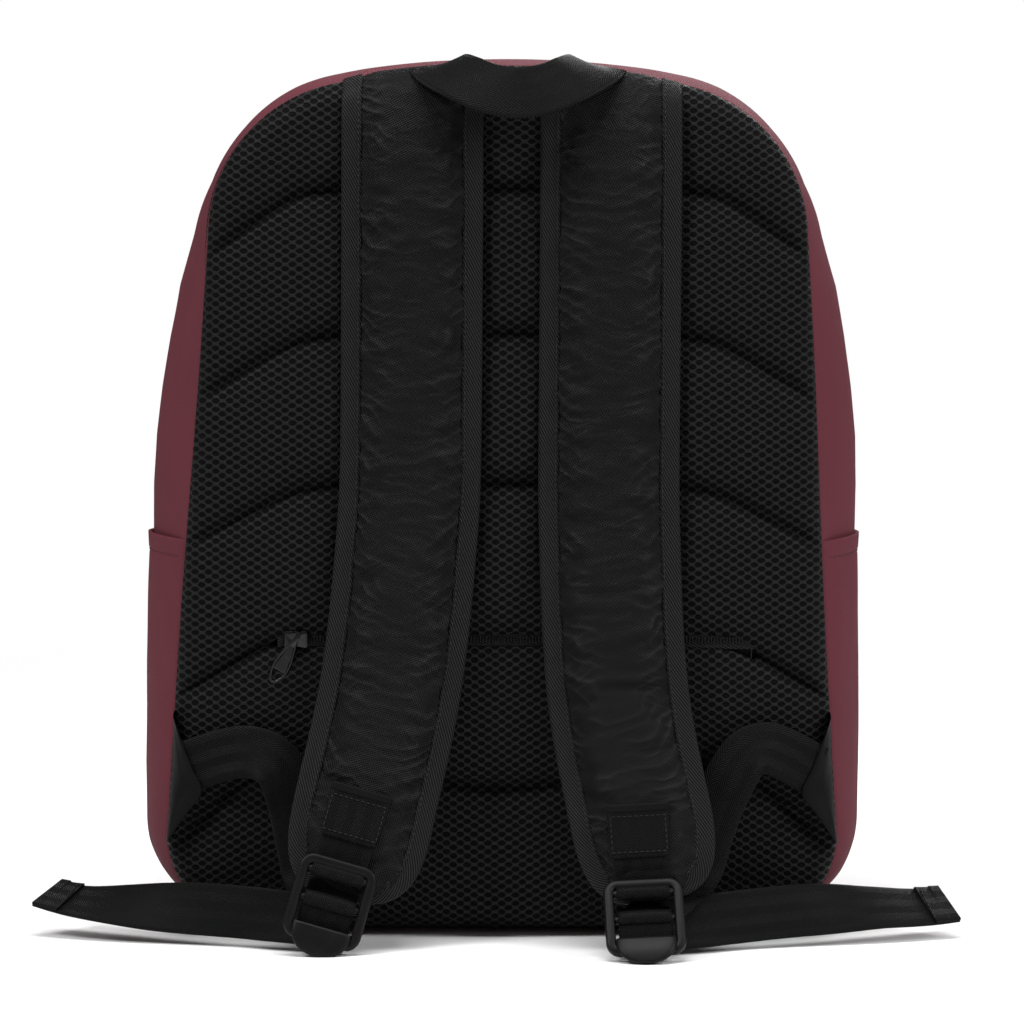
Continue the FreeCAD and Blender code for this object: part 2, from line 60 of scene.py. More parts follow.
# Heights, and how far the gusset bulges past the seam there.
SWELL = np.array([
    (0, 4.4), (14, 6), (30, 10), (42, 12.3), (52, 13.2), (77, 15.3), (127, 18.1), (162, 19.6),
    (189, 20.7), (215, 22.5), (239, 22.9), (263, 21.7), (288, 19.6), (313, 16.6), (338, 10.8),
    (362, 6.6), (387, 6.6), (405, 7.6), (413, 7.3), (418, 6.4), (425, 6.2),
])
LEAN, LEAN_FROM, LEAN_OVER = 2.2, 130.0, 180.0  # the bag's top leans this far to +X
POCKET_TOP, POCKET_LOW, HEM = 191.0, 13.0, 8.5
MAIN_ZIP_Y, ZIP_LIP, MAIN_ZIP_LOW = 40.0, 7.0, 250.0
FRONT_DEPTH, FRONT_ROUND, FRONT_ZIP_Z, FRONT_ZIP_HALF = 26.0, 36.0, 235.0, 95.0
BACK_DEPTH, BACK_ROUND, BACK_ZIP_Z, BACK_ZIP_X = 12.0, 10.0, 144.0, (-106.0, 119.0)
WEB = 25.0
STRAP_HALF, BINDING, STRAP_TIP = 33.5, 9.3, 46.0
# A strap's centre line: height, distance from the middle, shift to +X, y and thickness.
STRAP_PATH = np.array([
    (417.5, 47.3, 4.0, -60.0, 3.0), (413.5, 47.3, 4.0, -65.2, 3.4), (407.0, 47.3, 4.0, -69.6, 4.2),
    (398.0, 47.3, 4.0, -71.0, 5.6), (386.0, 47.3, 4.0, -71.1, 7.6), (360.0, 47.3, 4.0, -71.1, 9.0),
    (310.0, 47.3, 3.8, -71.1, 9.0), (260.0, 47.3, 3.6, -71.1, 9.0), (215.0, 47.6, 3.2, -71.8, 9.0),
    (180.0, 49.2, 2.4, -74.4, 9.0), (150.0, 51.2, 1.6, -77.2, 9.0), (121.0, 54.3, 0.8, -80.2, 9.0),
    (96.0, 58.6, 0.3, -84.7, 9.0), (74.0, 63.4, 0.0, -90.7, 8.5), (58.0, 66.8, 0.0, -95.6, 8.0),
    (44.0, 69.6, 0.0, -99.8, 7.5), (34.0, 71.4, 0.0, -102.8, 7.0), (23.0, 73.2, 0.0, -105.9, 6.5),
])
# Middle of a buckle's first bar, then its turn in the panel's plane and its lean, in degrees.
BUCKLES = {
    "left": ((-77.0, -114.5, 37.0), 16.0, 12.0),
    "right": ((66.5, -116.0, 29.0), -3.0, 40.0),
}
BAR_GAP = 14.0
# Centre of each tail and its across direction; distances from the middle, tip last.
TAIL_PATHS = {
    "left": [
        (84, -112.0, 14.8, 0, 0.5, 0.8), (98, -107.0, 15.5, 0, 0.35, 0.9),
        (122, -99.5, 16.5, 0, 0.1, 1), (150, -89.5, 17.0, 0, 0.3, 0.95),
        (180, -79.0, 16.9, 0, 0.55, 0.82), (200, -70.5, 16.8, -0.12, 0.74, 0.62),
        (211, -65.0, 17.6, -0.3, 0.82, 0.44), (220, -60.0, 19.0, -0.42, 0.85, 0.34),
    ],
    "right": [
        (70, -116.0, 12.8, 0, 0.6, 0.75), (86, -111.0, 13.5, 0, 0.45, 0.85),
        (110, -103.5, 15.6, 0, 0.15, 1), (142, -92.0, 17.2, 0, 0.2, 0.98),
        (176, -78.5, 16.2, 0, 0.45, 0.88), (196, -70.0, 15.0, -0.08, 0.68, 0.68),
        (208, -64.0, 14.6, -0.22, 0.74, 0.58), (216.5, -60.0, 14.8, -0.3, 0.78, 0.52),
    ],
}
# The handle's low and high edges about its own middle, then its place and how far it is spread.
HANDLE_X, HANDLE_SPREAD, HANDLE_DEPTH = 4.5, 1.05, 1.07
HANDLE_PLACE = (HANDLE_X + 2.1, 0.0, -1.5)
mirrored = lambda rows: np.array(rows + [(-x, y, z) for x, y, z in rows[-2::-1]])
HANDLE_LOW = mirrored([
    (-51.0, -62.0, 417.6), (-45.5, -74.5, 412.0), (-34.0, -87.0, 405.0), (-18.0, -95.5, 397.5),
    (0.0, -99.0, 394.2),
])
HANDLE_HIGH = mirrored([
    (-24.0, -60.8, 420.8), (-22.0, -68.0, 424.2), (-16.5, -79.5, 422.0), (-9.0, -88.0, 418.4),
    (0.0, -91.0, 417.2),
])
SIDES = (("left", -1.0), ("right", 1.0))
# Centre of the webbing from the wing, over its fold, to the strap: distance from the middle, y, z.
LOWER_WEB = {
    "left": [(150.5, -74.1, 83.0), (134, -79.0, 89.0), (121, -82.0, 91.0), (110, -84.0, 87.5),
             (103.5, -83.8, 79), (99, -83.0, 64), (95.5, -86.0, 48), (92, -91.0, 34)],
    "right": [(150.5, -74.1, 81.5), (136, -79.0, 90), (126, -82.5, 93.5), (116.5, -84.5, 90.5),
              (109.5, -84.2, 80), (103, -83.4, 66), (97.5, -86.0, 51), (92, -92.0, 36)],
}


# ------------------------------------------------------------------ curves and profiles
def smooth(t):
    """Smooth step: 3t^2 - 2t^3 on t held between 0 and 1."""
    t = np.clip(t, 0.0, 1.0)
    return t * t * (3 - 2 * t)


def rows_at(rows, t):
    """Catmull-Rom curve through rows at t from 0 (first row) to 1 (last row)."""
    rows = np.asarray(rows, float)
    x = np.clip(np.asarray(t, float), 0, 1) * (len(rows) - 1)
    k = np.clip(np.floor(x).astype(int), 0, len(rows) - 2)
    f = (x - k)[..., None]
    pick = lambda i: rows[np.clip(k + i, 0, len(rows) - 1)]
    p0, p1, p2, p3 = pick(-1), pick(0), pick(1), pick(2)
    return 0.5 * (
        2 * p1 + (p2 - p0) * f + (2 * p0 - 5 * p1 + 4 * p2 - p3) * f**2
        + (3 * p1 - p0 - 3 * p2 + p3) * f**3
    )


def even(points, count):
    """Points spaced evenly by length along a polyline, and their distance from its start."""
    run = np.r_[0, np.cumsum(np.linalg.norm(np.diff(points, axis=0), axis=1))]
    at = np.linspace(0, run[-1], count)
    return np.stack([np.interp(at, run, c) for c in points.T], 1), at


def unit(v):
    """Vectors brought to length 1."""
    return v / np.maximum(np.linalg.norm(v, axis=-1, keepdims=True), 1e-9)


def ripple(x, y, seed, scale, octaves=3):
    """Soft wandering height between about -1 and 1: sums of a few slanted sine waves."""
    own = np.random.default_rng(seed)
    total = np.zeros(np.broadcast(x, y).shape)
    for k in range(octaves):
        for _ in range(4):
            a, phase = own.uniform(0, 2 * math.pi, 2)
            f = 2 * math.pi * (1.7**k) * own.uniform(0.7, 1.3) / scale
            bend = 0.9 * np.sin(0.37 * f * (y * math.cos(a) - x * math.sin(a)) + 2 * phase)
            total += np.sin(f * (x * math.cos(a) + y * math.sin(a)) + phase + bend) / (1.6**k)
    return total / 6.0


def seam_outline():
    """The seam's loop: base line, corner arc, leaning side, corner arc and crown arc, mirrored.

    Returns rows of x, z and the outward normal, from the base's middle round by +X.
    """
    lean, tilt = math.atan(SIDE_TAPER), math.hypot(1, SIDE_TAPER)
    low_z = BOTTOM_Z + BOTTOM_CORNER_R
    low_x = SIDE_HALF_WIDTH - SIDE_TAPER * (low_z - SIDE_LEVEL) - BOTTOM_CORNER_R * tilt
    crown_z, top_z = CROWN_TOP - CROWN_R, 330.0
    for _ in range(30):
        top_x = SIDE_HALF_WIDTH - SIDE_TAPER * (top_z - SIDE_LEVEL) - TOP_CORNER_R * tilt
        top_z = crown_z + math.sqrt((CROWN_R - TOP_CORNER_R) ** 2 - top_x**2)
    meet = math.atan2(top_z - crown_z, top_x)

    def arc(cx, cz, r, start, end, count):
        a = np.linspace(start, end, count)
        return np.stack([cx + r * np.cos(a), cz + r * np.sin(a), np.cos(a), np.sin(a)], 1)

    base = np.stack([np.linspace(0, low_x, 60), np.full(60, BOTTOM_Z), np.zeros(60), -np.ones(60)], 1)
    corner = arc(low_x, low_z, BOTTOM_CORNER_R, -math.pi / 2, lean, 60)[1:]
    top = arc(top_x, top_z, TOP_CORNER_R, lean, meet, 90)
    t = np.linspace(0, 1, 150)[1:-1, None]
    side = corner[-1] * (1 - t) + top[0] * t
    crown = arc(0, crown_z, CROWN_R, meet, math.pi / 2, 60)[1:]
    half = np.concatenate([base, corner, side, top, crown])
    other = half[-2:0:-1] * [-1, 1, -1, 1]
    return np.concatenate([half, other, half[:1]])


OUTLINE = seam_outline()
OUTLINE_RUN = np.r_[0, np.cumsum(np.hypot(*np.diff(OUTLINE[:, :2], axis=0).T))]
GIRTH = OUTLINE_RUN[-1]


def outline(s):
    """x, z, outward normal x and z at distance s along the seam's loop."""
    return [np.interp(np.mod(s, GIRTH), OUTLINE_RUN, c) for c in OUTLINE.T]


def girth_at(height, right=True):
    """Distance along the loop at which the side passes a height."""
    half = len(OUTLINE) // 2 + 1
    s = np.interp(height, OUTLINE[:half, 1], OUTLINE_RUN[:half])
    return s if right else GIRTH - s


def seam_distance(x, z):
    """Distance of points inside the seam's loop from that loop."""
    loop = OUTLINE[::3, :2]
    flat = np.stack([x.ravel(), z.ravel()], 1)
    best = np.full(len(flat), 1e9)
    for start in range(0, len(loop) - 1, 40):
        a, b = loop[:-1][start : start + 40], loop[1:][start : start + 40]
        ab = b - a
        t = ((flat[:, None] - a) * ab).sum(-1) / np.maximum((ab * ab).sum(-1), 1e-9)
        near = a + ab * np.clip(t, 0, 1)[..., None]
        best = np.minimum(best, np.linalg.norm(flat[:, None] - near, axis=-1).min(1))
    return best.reshape(x.shape)


# ------------------------------------------------------------------ meshes
def leaning(points):
    """Points of the bag moved to +X by LEAN * smooth((z - LEAN_FROM) / LEAN_OVER)."""
    points = np.array(points, float)
    points[..., 0] += LEAN * smooth((points[..., 2] - LEAN_FROM) / LEAN_OVER)
    return points


def new_piece(name, points, faces, body, material, uv=None):
    """A closed mesh from points in millimetres, its faces turned outwards, riding on a body."""
    if body == "bag":
        points = leaning(points)
    mesh = bpy.data.meshes.new(name)
    mesh.from_pydata((np.asarray(points, float) / 1000).tolist(), [], faces)
    mesh.validate()
    mesh.update()
    if uv is not None:
        layer = mesh.uv_layers.new(name="cloth")
        loops = np.zeros(len(mesh.loops), int)
        mesh.loops.foreach_get("vertex_index", loops)
        layer.data.foreach_set("uv", (np.asarray(uv, float)[loops] / 1000).ravel())
    mesh.polygons.foreach_set("use_smooth", np.ones(len(mesh.polygons), bool))
    mesh.materials.append(material)
    work = bmesh.new()
    work.from_mesh(mesh)
    bmesh.ops.recalc_face_normals(work, faces=work.faces)
    work.to_mesh(mesh)
    work.free()
    obj = bpy.data.objects.new(name, mesh)
    bpy.context.scene.collection.objects.link(obj)
    if body:
        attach(obj, body)
    return obj


def grid_faces(rows, cols, wrap=False):
    """Quads of a rows x cols grid of points; wrap joins the last column to the first."""
    i = np.arange(rows - 1)[:, None]
    j = np.arange(cols if wrap else cols - 1)[None]
    k = (j + 1) % cols
    quad = np.stack([i * cols + j, i * cols + k, (i + 1) * cols + k, (i + 1) * cols + j], -1)
    return quad.reshape(-1, 4)


def stands_for(obj, slot, *nodes):
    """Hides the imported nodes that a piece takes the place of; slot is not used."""
    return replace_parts(obj, *nodes)


def shell(name, face, back, body, material, uv):
    """Closed piece between two grids of the same shape: face, back and the strip round both."""
    rows, cols = face.shape[:2]
    n = rows * cols
    rim = np.r_[
        np.arange(cols),
        np.arange(1, rows) * cols + cols - 1,
        (rows - 1) * cols + np.arange(cols - 2, -1, -1),
        np.arange(rows - 2, 0, -1) * cols,
    ]
    after = np.roll(rim, -1)
    wall = np.stack([rim, rim + n, after + n, after], -1)
    faces = np.concatenate([
        grid_faces(rows, cols),
        grid_faces(rows, cols)[:, ::-1] + n,
        wall,
    ])
    points = np.concatenate([face.reshape(-1, 3), back.reshape(-1, 3)])
    uv = np.concatenate([uv.reshape(-1, 2)] * 2)
    return new_piece(name, points, faces.tolist(), body, material, uv)


def tube(name, rings, body, material, uv):
    """Closed piece from rings of points (stations x around x 3), its ends fanned shut."""
    rows, cols = rings.shape[:2]
    faces = grid_faces(rows, cols, wrap=True).tolist()
    points = np.concatenate([rings.reshape(-1, 3), rings[0].mean(0)[None], rings[-1].mean(0)[None]])
    first, last = rows * cols, rows * cols + 1
    j = np.arange(cols)
    k = (j + 1) % cols
    faces += np.stack([k, j, np.full(cols, first)], -1).tolist()
    base = (rows - 1) * cols
    faces += np.stack([base + j, base + k, np.full(cols, last)], -1).tolist()
    uv = np.concatenate([uv.reshape(-1, 2), uv[0].mean(0)[None], uv[-1].mean(0)[None]])
    return new_piece(name, points, faces, body, material, uv)


def band(name, centre, across, half, thick, body, material, crown=0.0, edge=0.35, nw=14):
    """Flat webbing carried along a path.

    The section is a flat rounded bar: width 2 * half along `across`, thickness `thick` along
    the normal, corners rounded over a share `edge` of the thickness, raised by crown in the
    middle. UV is distance across and distance along.
    """
    along = unit(np.gradient(centre, axis=0))
    across = unit(across - along * (across * along).sum(-1, keepdims=True))
    normal = np.cross(along, across)
    run = np.r_[0, np.cumsum(np.linalg.norm(np.diff(centre, axis=0), axis=1))]
    w = np.linspace(-1, 1, nw)
    lift = crown * (1 - w**2)
    end = 1 - edge * thick / float(np.mean(half))
    top = np.stack([w * end, lift + thick / 2], 1)
    side_a = np.array([[1.0, 0.25 * thick], [1.0, -0.25 * thick]])
    low = np.stack([w[::-1] * end, lift[::-1] - thick / 2], 1)
    side_b = np.array([[-1.0, -0.25 * thick], [-1.0, 0.25 * thick]])
    section = np.concatenate([top, side_a, low, side_b])
    half = np.broadcast_to(np.asarray(half, float), (len(centre),))
    rings = (
        centre[:, None]
        + across[:, None] * (section[None, :, 0:1] * half[:, None, None])
        + normal[:, None] * section[None, :, 1:2]
    )
    uv = np.stack([
        np.broadcast_to(section[:, 0] * half[:, None], rings.shape[:2]),
        np.broadcast_to(run[:, None], rings.shape[:2]),
    ], -1)
    return tube(name, rings, body, material, uv)


def beads(name, path, normal, pitch, spread, profile, body, material):
    """A row of small closed beads laid at even steps along a path.

    Rows of profile are place, girth and dip. A bead's ring at place t is
    middle + axis * t + wide * girth * cos(a) + high * (dip + girth * sin(a)), for six angles a;
    spread(along, side, up, number) gives axis, wide and high.
    """
    run = np.r_[0, np.cumsum(np.linalg.norm(np.diff(path, axis=0), axis=1))]
    count = max(2, int(run[-1] / pitch))
    at = (np.arange(count) + 0.5) * run[-1] / count
    place = lambda d: np.stack([np.interp(d, run, c) for c in path.T], 1)
    along = unit(place(at + 0.4) - place(at - 0.4))
    up = unit(np.stack([np.interp(at, run, c) for c in normal.T], 1))
    axis, wide, high = spread(along, np.cross(along, up), up, np.arange(count)[:, None])
    t, girth, dip = np.array(profile).T[..., None]
    a = np.arange(6) * math.pi / 3
    carry = lambda direction, amount: direction[:, None, None] * amount[None, ..., None]
    ring = place(at)[:, None, None] + carry(axis, t + 0 * a)
    ring = ring + carry(wide, girth * np.cos(a)) + carry(high, dip + girth * np.sin(a))
    last = (len(profile) - 1) * 6
    caps = [[5, 4, 3, 2], [5, 2, 1, 0], [last, last + 1, last + 2, last + 3],
            [last, last + 3, last + 4, last + 5]]
    faces = np.concatenate([grid_faces(len(profile), 6, wrap=True), caps])
    faces = faces[None] + (np.arange(count) * (last + 6))[:, None, None]
    return new_piece(name, ring.reshape(-1, 3), faces.reshape(-1, 4).tolist(), body, material)


STITCH = [(-0.5, 0.25, -0.6), (-0.32, 0.8, -0.1), (0, 1, 0.25), (0.32, 0.8, -0.1), (0.5, 0.25, -0.6)]
COIL_TURN = [(-1, 0.3, 0), (-0.82, 0.85, 0), (-0.25, 1, 0), (0.25, 1, 0), (0.82, 0.85, 0), (1, 0.3, 0)]


def stitches(name, path, normal, body, material, pitch=3.2, length=2.3, radius=0.32):
    """A row of stitches: short beads laid end to end along a path, half sunk."""
    spread = lambda along, side, up, number: (along * length, side * radius, up * radius)
    return beads(name, path, normal, pitch, spread, STITCH, body, material)


def coil(name, path, normal, body, material, pitch=1.5, half=1.55, high=0.55):
    """Zip coil: low rounded bars across the path that lean forwards and back in turn."""

    def spread(along, side, up, number):
        skew = np.where(number % 2, 0.25, -0.25)
        return side * half + along * skew, along * (pitch * 0.42), up * high

    return beads(name, path, normal, pitch, spread, COIL_TURN, body, material)


# ------------------------------------------------------------------ finishes
class Value:
    """A socket in a finish's node tree; + - * / build Math nodes."""

    def __init__(self, finish, socket):
        self.finish, self.socket = finish, socket

    def _math(self, operation, *rest):
        inputs = dict(enumerate((self,) + rest))
        return self.finish.node("ShaderNodeMath", {"operation": operation}, inputs).out(0)

    def __add__(self, other):
        return self._math("ADD", other)

    def __sub__(self, other):
        return self._math("SUBTRACT", other)

    def __mul__(self, other):
        return self._math("MULTIPLY", other)

    def __truediv__(self, other):
        return self._math("DIVIDE", other)

    def __rsub__(self, other):
        return self * -1.0 + other

    __radd__, __rmul__ = __add__, __mul__

    def fract(self):
        return self._math("FRACT")

    def abs(self):
        return self._math("ABSOLUTE")

    def sin(self):
        return self._math("SINE")

    def power(self, n):
        return self._math("POWER", n)

    def least(self, other):
        return self._math("MINIMUM", other)

    def ramp(self, low, high, to_low=0.0, to_high=1.0):
        """Smooth step from low to high."""
        return self.finish.node(
            "ShaderNodeMapRange",
            {"interpolation_type": "SMOOTHSTEP"},
            {"Value": self, "From Min": low, "From Max": high, "To Min": to_low, "To Max": to_high},
        ).out(0)


class Node:
    def __init__(self, finish, node):
        self.finish, self.node = finish, node

    def out(self, key=0):
        return Value(self.finish, self.node.outputs[key])


class Finish:
    """A material under construction, with one method that makes every node."""

    def __init__(self, name, rough=0.8, metal=0.0, specular=0.5, coat=0.0):
        self.material = bpy.data.materials.new(name)
        self.material.use_nodes = True
        self.tree = self.material.node_tree
        self.tree.nodes.clear()
        self.shader = self.tree.nodes.new("ShaderNodeBsdfPrincipled")
        output = self.tree.nodes.new("ShaderNodeOutputMaterial")
        self.tree.links.new(self.shader.outputs[0], output.inputs[0])
        self.shader.inputs["Roughness"].default_value = rough
        self.shader.inputs["Metallic"].default_value = metal
        self.shader.inputs["Specular IOR Level"].default_value = specular
        self.shader.inputs["Coat Weight"].default_value = coat
        self.shader.inputs["Coat Roughness"].default_value = 0.25

    def node(self, kind, settings=None, inputs=None):
        made = self.tree.nodes.new(kind)
        for key, value in (settings or {}).items():
            setattr(made, key, value)
        for key, value in (inputs or {}).items():
            socket = made.inputs[key]
            if isinstance(value, Value):
                self.tree.links.new(value.socket, socket)
            else:
                socket.default_value = value
        return Node(self, made)

    def place(self):
        """Object coordinates in millimetres as three values."""
        where = self.node("ShaderNodeTexCoord").out("Object")
        parts = self.node("ShaderNodeSeparateXYZ", None, {0: where})
        return [parts.out(k) * 1000.0 for k in range(3)]

    def cloth(self):
        """The piece's own flat coordinates in millimetres: across and along."""
        where = self.node("ShaderNodeUVMap", {"uv_map": "cloth"}).out(0)
        parts = self.node("ShaderNodeSeparateXYZ", None, {0: where})
        return [parts.out(k) * 1000.0 for k in range(2)]

    def noise(self, size, detail=2.0, rough=0.5):
        """Noise between 0 and 1 whose features are about `size` millimetres."""
        where = self.node("ShaderNodeTexCoord").out("Object")
        return self.node(
            "ShaderNodeTexNoise",
            None,
            {"Vector": where, "Scale": 1000.0 / size, "Detail": detail, "Roughness": rough},
        ).out(0)

    def mix(self, factor, low, high):
        """Colour between two colours; either may be a Value."""
        made = self.node("ShaderNodeMix", {"data_type": "RGBA"}, {0: factor})
        for key, value in ((6, low), (7, high)):
            socket = made.node.inputs[key]
            if isinstance(value, Value):
                self.tree.links.new(value.socket, socket)
            else:
                socket.default_value = (*value, 1.0)
        return made.out(2)

    def finish(self, colour=None, height=None, strength=1.0, depth=0.001, rough=None):
        """Feeds the shader; depth is the bump's full height in metres."""
        pairs = (("Base Color", colour), ("Roughness", rough))
        for key, value in pairs:
            if isinstance(value, Value):
                self.tree.links.new(value.socket, self.shader.inputs[key])
            elif value is not None:
                self.shader.inputs[key].default_value = (*value, 1.0)
        if height is not None:
            bump = self.node(
                "ShaderNodeBump", None, {"Strength": strength, "Distance": depth, "Height": height}
            )
            self.tree.links.new(bump.node.outputs[0], self.shader.inputs["Normal"])
        return self.material


def burgundy_cloth():
    """Smooth fine diagonal twill, slightly mottled, with a faint paler bloom."""
    f = Finish("burgundy_cloth", rough=0.74, specular=0.05)
    across, along = f.cloth()
    rib = ((across + along) * (2 * math.pi / 0.95)).sin() * 0.5 + 0.5
    mottle = f.noise(38, 3.0)
    fine = f.noise(1.3, 2.0)
    tone = mottle * 0.55 + fine * 0.25 + rib * 0.2
    colour = f.mix(tone, (0.092, 0.0228, 0.031), (0.127, 0.0323, 0.043))
    return f.finish(colour, rib * 0.7 + fine * 0.6, 0.22, 0.0002, mottle * 0.1 + 0.68)


def hole_pattern(f, a, b):
    """Staggered oval holes, 6.7 mm apart in a row and rows 2.1 mm apart.

    Returns the height of the knit: 1 on the ribs between holes and 0 in a hole.
    """
    wobble = f.noise(9, 1.0) - 0.5
    a = a + wobble * 0.9
    b = b + wobble * 0.7

    def ovals(da, db):
        u = ((a + da) / 6.7).fract() - 0.5
        v = ((b + db) / 4.2).fract() - 0.5
        return (u * 6.7 / 1.72).power(2.0) + (v * 4.2 / 1.28).power(2.0)

    near = ovals(0.0, 0.0).least(ovals(3.35, 2.1))
    return near.ramp(0.55, 1.7)


def spacer_mesh():
    """Black knitted spacer mesh: an open lattice of small ovals, with painted shade in the holes."""
    f = Finish("spacer_mesh", rough=0.62, specular=0.1)
    a, _, b = f.place()
    knit = hole_pattern(f, a, b)
    yarn = f.noise(0.8, 2.0)
    # Painted shade: the holes are coloured near black for the shade that falls in them.
    colour = f.mix(knit * (yarn * 0.7 + 0.5), (0.0002, 0.0002, 0.0002), (0.0148, 0.0148, 0.0153))
    height = knit * 0.82 + yarn * 0.22
    return f.finish(colour, height, 0.9, 0.0011, 0.86 - knit * 0.26)


def strap_cloth():
    """Black strap cloth: a fine two-way weave and creases that fan in from both bindings, with painted
    light and shade on the creases.
    """
    f = Finish("strap_cloth", rough=0.5, specular=0.1)
    a, b = f.cloth()
    rib = ((a * 0.52 + b * 0.95) * (2 * math.pi / 1.12)).sin() * 0.5 + 0.5
    cross = ((a * 0.95 - b * 0.52) * (2 * math.pi / 1.12)).sin() * 0.5 + 0.5
    worn, drift = f.noise(24, 3.0), f.noise(26, 2.0)
    gather = a.abs().ramp(5.0, 21.0, 0.25, 1.0) * f.noise(17, 2.0).ramp(0.32, 0.6)
    fan = ((b + a * a * 0.016 + (drift - 0.5) * 26.0) * (2 * math.pi / 7.6)).sin() * 0.5 + 0.5
    fan2 = ((b - a * a * 0.013 + (worn - 0.5) * 20.0) * (2 * math.pi / 4.9)).sin() * 0.5 + 0.5
    crease = (fan.power(2.2) * 0.7 + fan2.power(2.0) * 0.3) * gather
    tone = rib * cross * 0.85 + worn * 0.15
    # Painted light and shade: the crease mask lightens the colour on the crease ridges and darkens it
    # between them.
    colour = f.mix(tone * (crease * 1.15 + 0.36), (0.0003, 0.0003, 0.0004), (0.0310, 0.0310, 0.0320))
    return f.finish(colour, crease * 1.0 + (rib + cross) * 0.1, 1.0, 0.0016, 0.6 - rib * 0.12)


def twill_tape(name="twill_tape"):
    """Black twill tape: steep slanting ribs 1.3 mm apart."""
    f = Finish(name, rough=0.46, specular=0.12)
    a, b = f.cloth()
    rib = ((a + b * 0.52) * (2 * math.pi / 1.32)).sin() * 0.5 + 0.5
    rib = rib.ramp(0.25, 0.95)
    yarn = f.noise(0.6, 2.0)
    colour = f.mix(rib * 0.8 + yarn * 0.2, (0.0002, 0.0002, 0.0003), (0.0270, 0.0270, 0.0280))
    return f.finish(colour, rib + yarn * 0.2, 1.0, 0.0006, 0.66 - rib * 0.2)


def herringbone():
    """Black webbing: six columns of ribs that lean in turn, a herringbone 25 mm wide."""
    f = Finish("herringbone_webbing", rough=0.42, specular=0.09)
    a, b = f.cloth()
    column = (a / 8.4 + 0.5).fract() - 0.5
    rib = ((column.abs() * 8.4 * 1.15 + b) * (2 * math.pi / 1.45)).sin() * 0.5 + 0.5
    rib = rib.ramp(0.25, 0.95)
    yarn = f.noise(0.7, 2.0)
    edge = a.abs().ramp(11.2, 12.3)
    colour = f.mix(rib * 0.75 + yarn * 0.25, (0.0001, 0.0001, 0.0001), (0.0095, 0.0095, 0.0099))
    return f.finish(
        colour, rib * (1.0 - edge * 0.8) + yarn * 0.25, 1.0, 0.0007, 0.62 - rib * 0.22
    )


def plain_weave(name, low, high, rough=0.7, pitch=0.9):
    """Plain over-and-under weave in the piece's own place."""
    f = Finish(name, rough=rough, specular=0.08)
    x, y, z = f.place()
    k = 2 * math.pi / pitch
    weave = ((x + y) * k).sin() * ((z - y) * k).sin() * 0.5 + 0.5
    spread = f.noise(18, 3.0)
    colour = f.mix(weave * 0.4 + spread * 0.6, low, high)
    return f.finish(colour, weave, 0.35, 0.00025, rough + 0.08 - weave * 0.16)


def moulded_plastic():
    """Black acetal, satin, with a very fine moulded grain and rubbed high spots."""
    f = Finish("moulded_plastic", rough=0.42, specular=0.14)
    grain, rub = f.noise(0.35, 2.0), f.noise(9, 3.0)
    colour = f.mix(rub, (0.003, 0.003, 0.0031), (0.006, 0.006, 0.0062))
    return f.finish(colour, grain, 0.18, 0.00012, rub * 0.16 + 0.36)


def enamel(name="black_enamel"):
    """Black enamelled metal with small bright wear."""
    f = Finish(name, rough=0.3, metal=0.6, specular=0.5, coat=0.15)
    wear = f.noise(2.4, 4.0).ramp(0.62, 0.8)
    colour = f.mix(wear, (0.012, 0.012, 0.013), (0.045, 0.045, 0.048))
    return f.finish(colour, f.noise(0.5, 2.0), 0.12, 0.0001, wear * 0.12 + 0.26)


def thread():
    """Waxed black thread with a two-ply twist."""
    f = Finish("thread", rough=0.5, specular=0.3)
    ply = f.noise(0.35, 2.0)
    return f.finish(f.mix(ply, (0.003, 0.003, 0.0032), (0.013, 0.013, 0.014)), ply, 0.5, 0.0002)


def red_thread():
    """Dark wine thread on the burgundy panels."""
    f = Finish("wine_thread", rough=0.6, specular=0.2)
    ply = f.noise(0.35, 2.0)
    return f.finish(f.mix(ply, (0.03, 0.008, 0.012), (0.075, 0.02, 0.028)), ply, 0.5, 0.0002)


BURGUNDY = burgundy_cloth()
MESH_KNIT = spacer_mesh()
STRAP_CLOTH = strap_cloth()
TAPE = twill_tape()
WEBBING = herringbone()
WING_CLOTH = plain_weave("wing_cloth", (0.001, 0.001, 0.0011), (0.006, 0.006, 0.0063), 0.6)
LINING = plain_weave("lining_cloth", (0.02, 0.02, 0.022), (0.045, 0.045, 0.048), 0.75)
PLASTIC = moulded_plastic()
ENAMEL = enamel()
COIL = moulded_plastic()
COIL.name = "coil_nylon"
THREAD = thread()
WINE_THREAD = red_thread()


# ------------------------------------------------------------------ gusset and pockets
def swell_at(z):
    """How far the gusset bulges past the seam at a height."""
    return np.interp(z, SWELL[:, 0], SWELL[:, 1])


def gusset_point(s, y, lift=0.0):
    """Point on the gusset: the seam outline moved out by swell(height) * (1 - (y/58)^2) + lift."""
    x, z, nx, nz = outline(s)
    depth = 1 - (y / SEAM_Y) ** 2
    crease = 0.35 * ripple(s * 0.6, y * 1.4, 3, 70) * depth
    g = swell_at(z) * depth + lift + crease
    out = np.stack([x + nx * g, y + 0 * x, z + nz * g], -1)
    out[..., 2] = np.maximum(out[..., 2], 0.0)
    return out


high_r = girth_at(MAIN_ZIP_LOW)
zip_rear, zip_front = MAIN_ZIP_Y - ZIP_LIP, MAIN_ZIP_Y + ZIP_LIP


